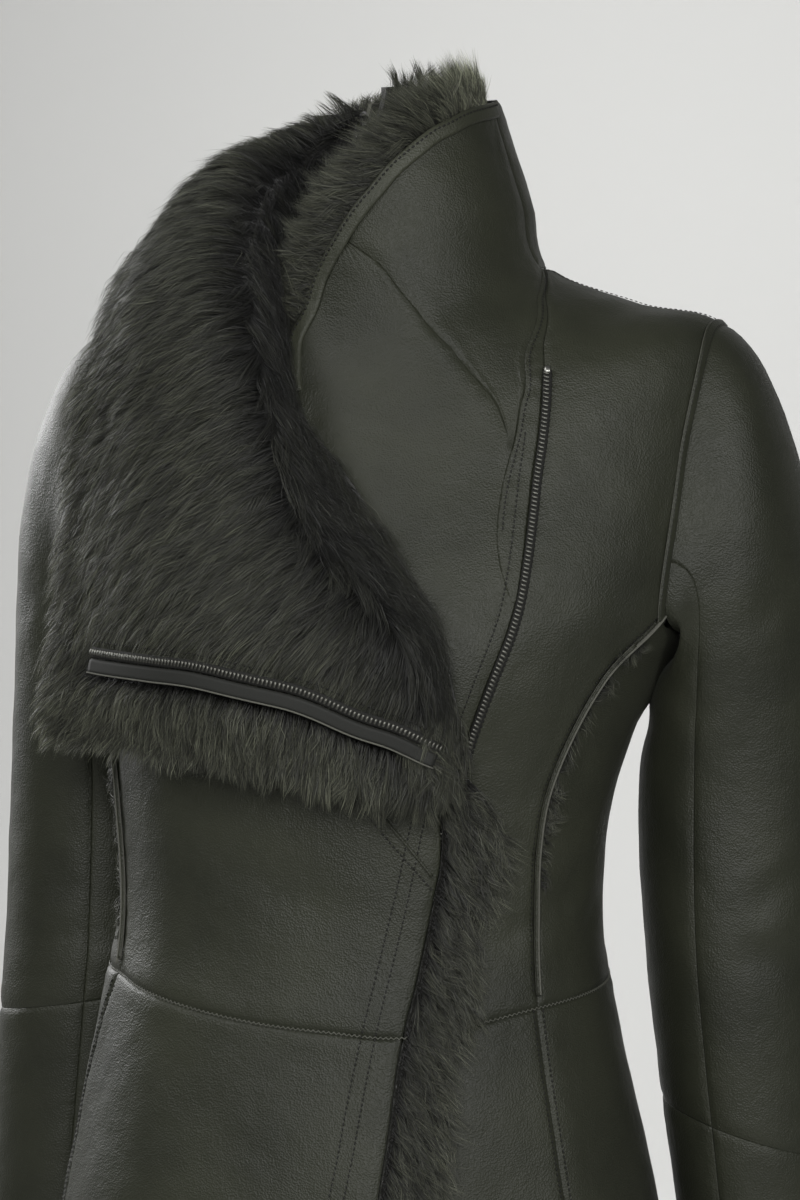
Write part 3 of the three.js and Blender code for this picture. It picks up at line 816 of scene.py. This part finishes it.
def woolFace(name):
    wool = wools[name]
    left, right = rowsOf(wool["left"]), rowsOf(wool["right"])
    if name == "front_fur":
        left = lambda level: seamOf(frontEdgeRight)(level) + 0.35

    def face(u, level, lift=0.0):
        return bodyPoint(left(level) * (1 - u) + right(level) * u, level, wool["lift"] + lift)

    return face


def woolShell(name, sink):
    wool = wools[name]
    face = woolFace(name)
    low, high = wool["levels"]
    u, v = np.meshgrid(np.linspace(0.01, 0.99, 26), np.linspace(low + 0.02, high - 0.02, 46))
    outer = face(u, v, -sink)
    normal = unit(face(u, v, 1.0 - sink) - outer)
    outer = outer + normal * (0.8 * tuftPattern(outer, 6))[..., None]
    inner = face(u, v, 0.3 - wool["depth"])
    piece = shellObject(name + "Undercoat", outer, inner, [longWoolBase] * 3)
    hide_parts(name)
    declareSheet(piece, outer)


for name, sink in (("collar_fur_left", 3.0), ("collar_fur_back", 3.0), ("front_fur", 1.5)):
    woolShell(name, sink)
stage("undercoat made")


# Ribbons, stitches and teeth laid along paths on a surface
def pathFrames(surface, path, spacing, lift=0.0, offset=0.0):
    # even points along a path with their tangent, side and normal
    path = np.asarray(path, float)
    fine = np.linspace(0, 1, max(len(path) * 12, 400))
    keys = np.linspace(0, 1, len(path))
    a, b = np.interp(fine, keys, path[:, 0]), np.interp(fine, keys, path[:, 1])
    base = surface(a, b, 0.0)
    normal = unit(surface(a, b, 1.0) - base)
    along = unit(np.gradient(base, axis=0))
    side = unit(np.cross(along, normal))
    points = base + side * offset + normal * lift
    walked = np.concatenate([[0], np.cumsum(np.linalg.norm(np.diff(points, axis=0), axis=1))])
    count = max(int(walked[-1] / spacing), 2)
    at = np.linspace(0, walked[-1], count + 1)
    pick = lambda rows: np.stack([np.interp(at, walked, rows[:, k]) for k in range(3)], axis=1)
    points, normal = pick(points), unit(pick(normal))
    along = unit(np.gradient(points, axis=0))
    side = unit(np.cross(along, normal))
    return points, along, side, normal


def roundedProfile(power):
    return lambda t: np.sqrt(np.maximum(1 - t**power, 0))


def ribbon(name, surface, path, half, low, high, materials, offset=0.0, power=4):
    points, along, side, normal = pathFrames(surface, path, 2.5, 0.0, offset)
    shares = np.linspace(-1, 1, 9)
    height = low + (high - low) * (0.35 + 0.65 * roundedProfile(power)(shares))
    across = points[:, None] + side[:, None] * (shares * half)[None, :, None]
    outer = across + normal[:, None] * height[None, :, None]
    piece = shellObject(name, outer, across + normal[:, None] * low, materials)
    return piece, outer


def facedOut(bm):
    bmesh.ops.recalc_face_normals(bm, faces=bm.faces)
    bm.verts.index_update()
    return bm


def capsule(length, width, height):
    bm = bmesh.new()
    bmesh.ops.create_uvsphere(bm, u_segments=5, v_segments=3, radius=1.0)
    for vert in bm.verts:
        x, y, z = vert.co
        vert.co = Vector((x * width / 2, z * length / 2, y * height / 2))
    return facedOut(bm)


def toothShape(*size):
    bm = bmesh.new()
    bmesh.ops.create_cube(bm, size=1.0)
    bmesh.ops.scale(bm, vec=size, verts=bm.verts)
    rounding = min(size[1:]) * 0.22
    bmesh.ops.bevel(bm, geom=list(bm.edges), offset=rounding, segments=1, affect="EDGES")
    return facedOut(bm)


def framesAt(surface, path, spacing, lift, offset=0.0, turn=0.0):
    points, along, side, normal = pathFrames(surface, path, spacing, lift, offset)
    angle = np.radians(turn)
    across = side * math.cos(angle) - along * math.sin(angle)
    forward = along * math.cos(angle) + side * math.sin(angle)
    return np.stack([across, forward, normal, points], axis=1)


def between(start, end, count):
    return np.linspace(start, end, count)


def seamPath(rows, low, high, count=60, shift=0.0):
    levels = between(low, high, count)
    return np.stack([seamOf(rows)(levels) + shift, levels], axis=1)


def rightFace(angle, level, lift=0.0):
    return bodyPoint(angle, level, lift + rightChestLift(angle, level))


def curve(points):
    points = np.array(points, float)
    keys = np.linspace(0, 1, len(points))
    at = np.linspace(0, 1, 60)
    rows = np.column_stack([keys, points])
    return np.stack([smoothAt(rows, 1, at), smoothAt(rows, 2, at)], axis=1)


def layRibbon(name, slot, replaced, *shape, **more):
    piece, points = ribbon(name, *shape, **more)
    if replaced:
        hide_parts(replaced)
    return piece, points


toothPitch = 2.5
zipEnds = (0.174, 0.857)
leftZip = seamPath(zipLine, 10.25, 0.2, 140, 1.0)
zipShares = between(*zipEnds, 60)
lapelZip = np.stack([zipShares, smoothAt(lapelZipRows, 1, zipShares)], axis=1)
tape, edging, skin = [zipTape] * 3, [suedeEdge] * 3, [leather, leather, suedeEdge]
tooth = toothShape(3.5, 1.5, 1.8)
layRibbon("zipTapeLeft", "zip", "zip_left", bodyPoint, leftZip, 2.6, 0.6, 2.2, tape)
places = framesAt(bodyPoint, leftZip, toothPitch, 2.3, 0.4, 10)
stampObject("zipTeethLeft", tooth, places, [zipMetal])
layRibbon("zipTapeRight", "zip", "zip_right", lapelPoint, lapelZip, 3, 0.7, 2.4, tape)
places = framesAt(lapelPoint, lapelZip, toothPitch, 2.5, 0.0, 10)
stampObject("zipTeethRight", tooth, places, [zipMetal])
guard = [guardLeather, guardLeather, suedeEdge]
piece, points = layRibbon(
    "zipGuardStrip", "leather", "zip_guard", lapelPoint, lapelZip, 4.3, 0.7, 2.6, guard, -8.0, 8
)
declareSheet(piece, points)
layRibbon("zipGuardEdge", "leather", None, lapelPoint, lapelZip, 0.5, 1.2, 3.2, edging, -12.2)
top = framesAt(bodyPoint, leftZip[:3], 1.0, 2.2)[:1]
stampObject("zipTopStop", toothShape(3.6, 4.4, 2.2), top, [stopMetal])

slantedPath = curve([[10.1, 6.1], [12.8, 6.0], [19.7, 5.72], [26.0, 5.45]])
ridges = {
    "princess_ridge_left": (bodyPoint, seamPath(princessLeft, 4.35, 7.45), 1.8, 0.5, 2.4),
    "princess_ridge_right": (rightFace, seamPath(princessRight, 4.55, 7.45), 1.8, 0.5, 2.6),
    "slantedEdge": (rightFace, slantedPath, 0.9, -0.4, 1.7),
}
for name, shape in ridges.items():
    layRibbon(name + "Ridge", "leather", name if name in nodes else None, *shape, skin)
rawEdges = {
    "rawEdgeLeft": (bodyPoint, seamPath(princessLeft, 4.35, 7.86)),
    "rawEdgeRight": (rightFace, seamPath(princessRight, 4.5, 7.86)),
}
for name, (face, path) in rawEdges.items():
    layRibbon(name, "leather", None, face, path, 0.55, 1.2, 3.2, edging)


def ovalPath(side):
    around = np.radians(between(-138, 138, 120))
    forward = signedPower(np.sin(around), 2 / armhole["power"])
    up = signedPower(np.cos(around), 2 / armhole["power"])
    angle = side * (armhole["angle"] - armhole["halfAngle"] * 1.16 * forward)
    return np.stack([angle, armhole["level"] + armhole["halfLevel"] * 1.08 * up], axis=1)


for label, side, face in (("left", 1, bodyPoint), ("right", -1, rightFace)):
    piece, points = layRibbon(
        "armholeBand" + label.title(), "leather", "armhole_band_" + label,
        face, ovalPath(side), 3, 0.8, 2.4, skin,
    )
    declareSheet(piece, points)
bound = between(0, 12, 90)
boundPath = np.stack([smoothAt(boundEdge, k, bound) for k in (1, 2)], axis=1) + [1.5, -0.04]
piece, points = layRibbon(
    "collarBinding", "binding", "collar_binding",
    bodyPoint, boundPath, 4.8, 0.3, 2.3, [bindingLeather] * 3, -0.6, 8,
)
declareSheet(piece, points)
stage("ribbons and zips made")

# Sewing: each row has its face, path, side offset and lift
stitch = capsule(2.3, 0.95, 0.7)
waistAngles = between(-66, 290, 500)
waistPath = np.stack([waistAngles, waistSeam(waistAngles)], axis=1)


def waistFace(angle, level, lift=0.0):
    onRight = angle < seamOf(frontEdgeRight)(level) + 1
    return bodyPoint(angle, level, lift + np.where(onRight, rightLift(angle), 0))


shoulderLeft = np.stack([between(91, 91, 20), between(10.1, 11.9, 20)], axis=1)
innerRow = [
    [21.6, 6.06], [18.8, 5.46], [15.7, 4.91], [11.5, 4.06], [8.4, 3.31], [5.9, 2.5], [1.5, 1.2],
    [-2, 0.1],
]
outerRow = [
    [24.2, 6.03], [21.9, 5.5], [19.0, 4.96], [15.0, 4.21], [11.3, 3.36], [8.4, 2.5], [4.2, 1.2],
    [0.5, 0.1],
]
slantedRow = [[7.8, 6.1], [10.3, 5.99], [18.0, 5.66], [25.8, 5.35]]
skirtRowLeft, skirtRowRight = seamPath(skirtSeamLeft, 0.1, 4.2), seamPath(skirtSeamRight, 0.1, 4.3)
rows = [
    (bodyPoint, seamPath(zipLine, 10.2, 0.2, 140), -5.5, 0.5),
    (bodyPoint, seamPath(zipLine, 9.5, 0.2, 140), 7.5, 0.5),
    (rightFace, curve(innerRow), 0, 0.5),
    (rightFace, curve(outerRow), 0, 0.5),
    (rightFace, seamPath(frontEdgeRight, 6.1, 0.1, 120), -3.4, 0.5),
    (rightFace, curve(slantedRow), 0, 0.8),
    (bodyPoint, seamPath(princessLeft, 4.4, 7.8, 80), -3.6, 0.5),
    (bodyPoint, skirtRowLeft, 3.2, 0.4),
    (bodyPoint, skirtRowLeft, -3.2, 0.4),
    (rightFace, skirtRowRight, 3.2, 0.4),
    (rightFace, skirtRowRight, -3.2, 0.4),
    (bodyPoint, shoulderLeft, 3.2, 0.5),
    (rightFace, shoulderLeft * [-1, 1], 3.2, 0.5),
    (bodyPoint, ovalPath(1), -1.9, 2.1),
    (bodyPoint, ovalPath(1), 1.9, 2.1),
    (rightFace, ovalPath(-1), 1.9, 2.1),
    (rightFace, ovalPath(-1), -1.9, 2.1),
    (bodyPoint, seamPath(lapSeam, 8.65, 12.0), 3.0, 0.5),
    (lapelPoint, lapelZip, 6.5, 0.8),
]
places = [framesAt(face, path, 3.1, lift, offset) for face, path, offset, lift in rows]
stampObject("topStitching", stitch, np.concatenate(places), [thread])
places = framesAt(bodyPoint, boundPath, 3.4, 2.5, -2.9)
stampObject("bindingStitching", capsule(2.4, 1.3, 1.4), places, [thread])
places = np.concatenate([
    framesAt(waistFace, waistPath, 1.5, 0.1, 0.0, turn)[start::2]
    for turn, start in ((35, 0), (-35, 1))
])
stampObject("waistZigzag", capsule(3.4, 0.7, 0.6), places, [seamThread])
stage("sewing made")


# Long wool, grown in locks
def growWool(name, settings):
    random = np.random.default_rng(settings["seed"])
    face = settings["face"]
    u, v = np.meshgrid(np.linspace(*settings["us"], 80), np.linspace(*settings["vs"], 120))
    grid = face(u, v, 0.0)
    across = np.cross(grid[1:, 1:] - grid[:-1, :-1], grid[1:, :-1] - grid[:-1, 1:])
    weight = np.linalg.norm(across, axis=-1)
    if "density" in settings:
        middleU, middleV = [0.5 * (k[1:, 1:] + k[:-1, :-1]) for k in (u, v)]
        weight = weight * settings["density"](middleU, middleV)
    weight = (weight / weight.sum()).ravel()

    def scatter(count):
        cell = random.choice(len(weight), count, p=weight)
        j, i = np.unravel_index(cell, across.shape[:2])
        fu, fv = random.random(count), random.random(count)
        return u[0, i] + (u[0, 1] - u[0, 0]) * fu, v[j, 0] + (v[1, 0] - v[0, 0]) * fv

    def rooted(u, v):
        return face(u, v, -settings["sink"]), unit(face(u, v, 1.0) - face(u, v, 0.0))

    lockU, lockV = scatter(settings["locks"])
    strandU, strandV = scatter(settings["strands"])
    root, normal = rooted(strandU, strandV)
    lockRoot, lockNormal = rooted(lockU, lockV)
    own = np.empty(len(root), int)
    for start in range(0, len(root), 2000):
        gap = np.linalg.norm(root[start : start + 2000, None] - lockRoot[None], axis=-1)
        own[start : start + 2000] = np.argmin(gap, axis=1)
    comb = settings["comb"](lockRoot, lockU, lockV)
    comb = comb + random.normal(0, settings["stray"], (len(lockU), 3))
    comb = unit(comb - lockNormal * (comb * lockNormal).sum(axis=1, keepdims=True))
    lengthLock = settings["length"] * random.uniform(0.8, 1.15, len(lockU))
    riseLock = settings["rise"] * random.uniform(0.6, 1.5, len(lockU))
    tipLock = lockRoot + scaled(comb, lengthLock * 0.9) + scaled(lockNormal, lengthLock * riseLock)
    sway = scaled(np.cross(comb, lockNormal), random.normal(0, 1, len(lockU)) * settings["curl"])
    length = lengthLock[own] * random.uniform(0.7, 1.05, len(root))
    if "reach" in settings:
        length = length * settings["reach"](root, strandU, strandV)
    freeTip = root + scaled(comb[own], length * 0.9) + scaled(normal, length * riseLock[own])
    freeTip += random.normal(0, 1, freeTip.shape) * settings["fray"]
    pull = random.uniform(0.45, 0.95, len(root))[:, None] * settings["clump"]
    tip = freeTip * (1 - pull) + tipLock[own] * pull
    steps = settings["steps"]
    last = len(steps) - 1
    curve = []
    for t in steps:
        bow = length * settings["arch"] * t * (1 - t) * 2
        lifted = root + (tip - root) * t + scaled(normal, bow)
        curve.append(lifted + sway[own] * math.sin(t * math.pi * 1.35))
    curve = np.stack(curve, axis=1)
    tilted = normal + random.normal(0, 0.5, normal.shape)
    facing = unit(np.cross(curve[:, last] - curve[:, 0], tilted))
    size = random.uniform(0.7, 1.3, len(root))
    points = []
    for k in range(last):
        half = scaled(facing, settings["width"] * (1 - 0.7 * steps[k] ** 2) * size / 2)
        points += [curve[:, k] - half, curve[:, k] + half]
    points.append(curve[:, last])
    points = np.stack(points, axis=1)
    count = len(root)
    mesh = bpy.data.meshes.new(name)
    each = 2 * last + 1
    offsets = (np.arange(count) * each)[:, None]
    quads = np.concatenate([offsets + 2 * k + np.array([[0, 1, 3, 2]]) for k in range(last - 1)])
    tris = offsets + 2 * last + np.array([[-2, -1, 0]])
    mesh.from_pydata((points.reshape(-1, 3) * mm).tolist(), [], quads.tolist() + tris.tolist())
    mesh.polygons.foreach_set("use_smooth", [True] * (count * last))
    along = mesh.attributes.new("along", "FLOAT", "POINT")
    along.data.foreach_set("value", np.tile([*np.repeat(steps[:-1], 2), 1.0], count))
    toneLock = random.uniform(0.6, 1.35, len(lockU))
    strandToneAndPaintedLight = mesh.attributes.new("strandToneAndPaintedLight", "FLOAT", "POINT")
    # brightness per strand: a random tone per lock and per strand, times each wool's painted light
    # and shade by position
    paintedLightAndTone = settings["paintedLightAndTone"](strandU, strandV) if "paintedLightAndTone" in settings else np.ones(count)
    paintedLightAndTone = toneLock[own] * (0.3 + 1.7 * random.random(count) ** 2.2) * paintedLightAndTone
    strandToneAndPaintedLight.data.foreach_set("value", np.repeat(paintedLightAndTone, each))
    return sceneObject(name, mesh, [longWool])


zipLinePoints = lapelPoint(lapelZip[:, 0], lapelZip[:, 1])


def belowZip(share, section):
    return section - smoothAt(lapelZipRows, 1, np.clip(share, *zipEnds))


def toZip(points, share, section):
    # distance to the lapel's zip, below zero above it
    flat = points.reshape(-1, 3)
    gap = np.concatenate([
        np.linalg.norm(flat[k : k + 4000, None] - zipLinePoints[None], axis=-1).min(axis=1)
        for k in range(0, len(flat), 4000)
    ])
    return gap.reshape(points.shape[:-1]) * np.sign(belowZip(share, section))


def lapelDensity(share, section):
    gap = toZip(lapelPoint(share, section), share, section)
    clear = smoothStep(-gap, 3.5, 5.5) + smoothStep(gap, 12.0, 13.5)
    return clear * (1 + 0.6 * smoothStep(gap, 5, 15))


def lapelReach(points, share, section):
    gap = toZip(lapelPoint(share, section), share, section)
    below = np.interp(share, [0, 0.12, 0.25, 0.42, 0.6, 1], [0.9, 0.9, 1.0, 0.62, 0.5, 0.62])
    reach = np.where(gap < 0, np.clip((-gap - 1) / 26, 0.22, 1.0), below)
    return reach * (0.45 + 0.55 * smoothStep(section, 0.3, 2.0))


combRows = [
    [0, -0.55, 0.75], [1, -0.85, 0.4], [2, -1, 0.02], [3, -0.96, -0.28], [4, -0.88, -0.5],
    [5, -0.8, -0.62], [6, -0.7, -0.75], [7, -0.5, -0.9], [8, -0.35, -1],
]


def columns(*parts):
    return np.stack(np.broadcast_arrays(*parts), axis=-1)


def combLapel(points, share, section):
    away = columns(smoothAt(combRows, 1, section), -0.08, smoothAt(combRows, 2, section))
    inward = np.array([0.55, -0.1, -0.8])
    below = columns(-0.15 - 1.1 * smoothStep(share, 0.55, 1.0), -0.1, -0.96)
    k = smoothStep(share, 0.17, 0.25)[:, None]
    comb = inward * (1 - k) + away * k
    gap = toZip(lapelPoint(share, section), share, section)
    low = smoothStep(gap, 0, 12)[:, None]
    return comb * (1 - low) + below * low


def lapelPaintedLightAndShade(share, section):
    # painted light and shade on the lapel wool: darker at the parting, on the inner side and in the
    # hollow high on the inner side; lighter toward the outer edge and below the zip
    inner = smoothStep(share, 0.2, 0.1) * 0.5
    low = smoothStep(belowZip(share, section), 0, 0.5)
    hollowShade = smoothStep(share, 0.27, 0.17) * smoothStep(section, 4.5, 2.5)
    light = 1.0 - 0.72 * partingShade(share) - inner + 0.3 * smoothStep(share, 0.5, 0.9) + 0.25 * low
    return light * (1 - 0.7 * hollowShade)


def insideOf(name):
    wool = wools[name]
    face = woolFace(name)
    return lambda u, level, lift=0.0: face(u, level, -wool["depth"] - np.asarray(lift, float))


boundBase, boundAlong, boundSide, boundNormal = pathFrames(bodyPoint, boundPath, 1.0)


def blend(rows, u):
    steps = np.linspace(0, 1, len(rows))
    return np.stack([np.interp(u, steps, rows[:, k]) for k in range(3)], axis=-1)


def rimFace(u, v, lift=0.0):
    # u runs along the bound edge, v out from it in millimetres
    out = -unit(blend(boundSide, u))
    depth = -9.0 + 4.0 * smoothStep(v, 0, 8) + np.asarray(lift, float)
    return blend(boundBase, u) + scaled(out, v) + scaled(unit(blend(boundNormal, u)), depth)


def rimComb(points, u, v):
    lean = np.interp(u, [0, 0.3, 0.6, 0.8, 1], [-0.1, 0.15, 0.55, 0.3, -0.1])
    return -unit(blend(boundSide, u)) - scaled(unit(blend(boundAlong, u)), lean)


joinTop = np.array([
    (-66, 44, 90), (-56, 38, 100), (-44, 33, 107), (-32, 38, 110), (-18, 46, 112), (-2, 52, 113),
    (10, 55, 113),
], float)


def joinFace(u, v, lift=0.0):
    # a strip of the collar where the lapel's wool meets that of the back
    down, out = np.array([0.0, 0.0, -26.0]), np.array([0.15, -0.88, 0.45])
    return blend(joinTop, u) + scaled(down, v) + scaled(out, lift)


def combAlong(x, y, z):
    return lambda points, u, v: np.tile([x, y, z], (len(points), 1))


# painted shade: a narrow band along the wool's parting, where the lapel wool is drawn darker
def partingShade(share):
    return np.exp(-(((share - 0.2) / 0.08) ** 2))


# Each has its face, seed, number of strands and lengths; rise is how far they stand off the skin
usual = {
    "us": (0.02, 0.98), "steps": [0.0, 0.5, 1.0], "sink": 2, "arch": 0.3, "curl": 1.6,
    "clump": 0.4, "fray": 1.8, "width": 0.28,
}
onLapel = {
    "face": lapelPoint, "us": (0.02, 0.985), "vs": (0.03, 7.95), "sink": 6, "comb": combLapel,
    "density": lapelDensity, "reach": lapelReach, "paintedLightAndTone": lapelPaintedLightAndShade,
}


def onRidge(surface, seam, side):
    return {
        "face": lambda u, v, lift=0.0: surface(seamOf(seam)(v) + side * u, v, lift),
        "us": (0.2, 1.6), "sink": 0, "arch": 0.2, "clump": 0.5, "stray": 0.35, "width": 0.26,
    }


locks = {
    "lapelWool": {
        **onLapel, "steps": [0.0, 0.34, 0.7, 1.0], "seed": 3, "strands": 39500, "locks": 2600,
        "length": 36, "rise": 0.07, "curl": 0.8, "clump": 0.45, "fray": 1.3, "stray": 0.08,
        "width": 0.34,
    },
    "lapelWoolFine": {
        **onLapel, "seed": 4, "strands": 50000, "locks": 1500, "length": 33, "rise": 0.13,
        "arch": 0.34, "curl": 1.4, "clump": 0.3, "fray": 2.2, "stray": 0.12, "width": 0.27,
    },
    "collarRimWool": {
        "face": rimFace, "us": (0.0, 1.0), "vs": (-4, 12), "seed": 5, "strands": 27000,
        "locks": 900, "length": 33, "sink": 0, "rise": 0.14, "clump": 0.35, "fray": 2.6,
        "stray": 0.26, "width": 0.25, "comb": rimComb,
        # painted light: the rim strands grow much lighter toward the collar's top end, standing in
        # for the back light through their tips
        "paintedLightAndTone": lambda u, v: 1.1 + 4.2 * smoothStep(u, 0.72, 1.0),
        "reach": lambda p, u, v: 1 - 0.5 * smoothStep(u, 0.9, 1.0),
    },
    "collarWoolLeft": {
        "face": insideOf("collar_fur_left"), "vs": (10.1, 15.35), "seed": 6, "strands": 6000,
        "locks": 300, "length": 22, "rise": 0.3, "curl": 2.0, "clump": 0.5, "stray": 0.4,
        "width": 0.32, "comb": combAlong(-0.3, 0, 0.8), "paintedLightAndTone": lambda u, v: 0.7 + 0 * u,
    },
    "collarWoolBack": {
        "face": insideOf("collar_fur_back"), "vs": (12.3, 15.55), "seed": 7, "strands": 15000,
        "locks": 500, "length": 22, "rise": 0.35, "curl": 1.5, "clump": 0.45, "stray": 0.35,
        "width": 0.3, "comb": combAlong(-0.2, 0, 0.9),
        # painted shade: this wool is drawn dark down in the collar's hollow and lighter toward its
        # top edge
        "paintedLightAndTone": lambda u, v: 0.55 + 0.5 * smoothStep(v, 14.6, 15.5),
    },
    "frontWool": {
        "face": woolFace("front_fur"), "vs": (0.05, 6.2), "seed": 11, "strands": 30000,
        "locks": 1500, "length": 23, "sink": 1.5, "rise": 0.16, "arch": 0.32, "curl": 1.4,
        "clump": 0.3, "fray": 2.0, "stray": 0.22, "width": 0.27,
        "comb": combAlong(0.62, -0.2, -0.75),
        "paintedLightAndTone": lambda u, v: 0.8 + 0.4 * smoothStep(u, 0.4, 0.9),
    },
    "joinWool": {
        "face": joinFace, "us": (0.0, 1.0), "vs": (0.0, 1.0), "seed": 13, "strands": 8000,
        "locks": 500, "length": 10, "rise": 0.1, "arch": 0.2, "curl": 1.2, "stray": 0.3,
        # painted light: strands drawn up to twice as bright, most at the top of the strip, lifting
        # them out of the shadow they stand in
        "comb": combAlong(0.12, -0.1, 1.0), "paintedLightAndTone": lambda u, v: 2.0 - 0.9 * v,
    },
    "ridgeHairLeft": {
        **onRidge(bodyPoint, princessLeft, 1), "vs": (5.3, 7.5), "seed": 19, "strands": 1300,
        "locks": 60, "length": 11, "rise": 0.25, "fray": 2.2, "comb": combAlong(0.8, 0.1, -0.6),
        "density": lambda u, v: 0.15 + np.maximum(0, np.sin(v * 4.1 + 2.2)) ** 3,
    },
    "ridgeHairRight": {
        **onRidge(rightFace, princessRight, -1), "vs": (4.7, 7.3), "seed": 23, "strands": 1500,
        "locks": 70, "length": 10, "rise": 0.3, "fray": 2.0, "comb": combAlong(-0.8, -0.1, -0.5),
        "density": lambda u, v: 0.2 + np.maximum(0, np.sin(v * 5.3 + 0.4)) ** 3,
    },
    "cornerWool": {
        "face": lapelPoint, "us": (0.02, 0.26), "vs": (7.5, 7.98), "seed": 17, "strands": 8000,
        "locks": 200, "length": 30, "sink": 5, "rise": 0.1, "stray": 0.2,
        "comb": lambda p, u, v: columns(0.75 - 2.2 * u, -0.15, -0.8),
    },
}
for name, settings in locks.items():
    growWool(name, {**usual, **settings})
stage("long wool grown")

# Studio
backdrop = plainMaterial("StudioPaper", "c9c9c7", 0.9, 0.0, 60.0, 0.00002)
lowest, wallAt, bend = -1.5, 7.0, 2.0


def sweep():
    # a pale floor that turns up into a wall behind the coat
    rows = [(-9.0, lowest), (0.0, lowest)]
    for turn in np.linspace(0, math.pi / 2, 24):
        rows.append((wallAt - bend * (1 - math.sin(turn)), lowest + bend * (1 - math.cos(turn))))
    rows.append((wallAt, 7.0))
    bm = bmesh.new()
    bmesh.ops.create_grid(bm, x_segments=8, y_segments=len(rows) - 1, size=0.5)
    for k, vert in enumerate(bm.verts):
        y, z = rows[k // 9]
        vert.co = Vector((2.5 * (k % 9 - 4), y, z))
    mesh = meshFrom(bm, "studioSweep")
    mesh.materials.append(backdrop)
    return placed("studioSweep", mesh)


sweep()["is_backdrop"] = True


def facing(place, aim):
    return (Vector(aim) - Vector(place)).to_track_quat("-Z", "Y").to_euler()


def areaLight(name, place, aim, size, power):
    lamp = bpy.data.lights.new(name, "AREA")
    lamp.shape, lamp.size, lamp.energy = "DISK", size, power
    piece = placed(name, lamp)
    piece.location = place
    piece.visible_camera = False
    piece.rotation_euler = facing(place, aim)


lights = {
    "keyLight": {"place": (-1.7, -1.7, 1.9), "aim": (0, 0, -0.05), "size": 1.1, "power": 30},
    "frontLight": {"place": (0.5, -2.9, 0.6), "aim": (0, 0, -0.25), "size": 1.0, "power": 38},
    "sideLight": {"place": (2.0, -1.8, 0.5), "aim": (0, 0, -0.3), "size": 1.2, "power": 20},
    "edgeLight": {"place": (-2.1, 1.2, 0.5), "aim": (-0.1, 0, -0.2), "size": 1.2, "power": 38},
    "backLight": {"place": (-0.9, 3.3, 0.9), "aim": (-1.9, 7.0, 0.0), "size": 2.6, "power": 148},
}
for name, settings in lights.items():
    areaLight(name, **settings)
world = bpy.data.worlds.new("Studio")
bpy.context.scene.world = world
world.use_nodes = True
world.node_tree.nodes["Background"].inputs["Color"].default_value = linear("f2f2f2")
world.node_tree.nodes["Background"].inputs["Strength"].default_value = 0.1

turn, rise, away = math.radians(15), math.radians(2), 2.4
target = Vector((-0.008 * math.cos(turn), -0.008 * math.sin(turn), -0.198))
flat = math.cos(rise)
eye = target + away * Vector((math.sin(turn) * flat, -math.cos(turn) * flat, math.sin(rise)))
lens = bpy.data.cameras.new("PhotoCamera")
lens.lens = 118.08
camera = placed("PhotoCamera", lens)
camera.location = eye
camera.rotation_euler = facing(eye, target)
bpy.context.scene.camera = camera
bpy.context.scene.view_settings.view_transform = "Standard"

added = [o for o in bpy.data.objects if o.type == "MESH" and o.name not in nodes]
print("triangles added", sum(len(f.vertices) - 2 for o in added for f in o.data.polygons))
low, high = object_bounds()
stage("whole scene")
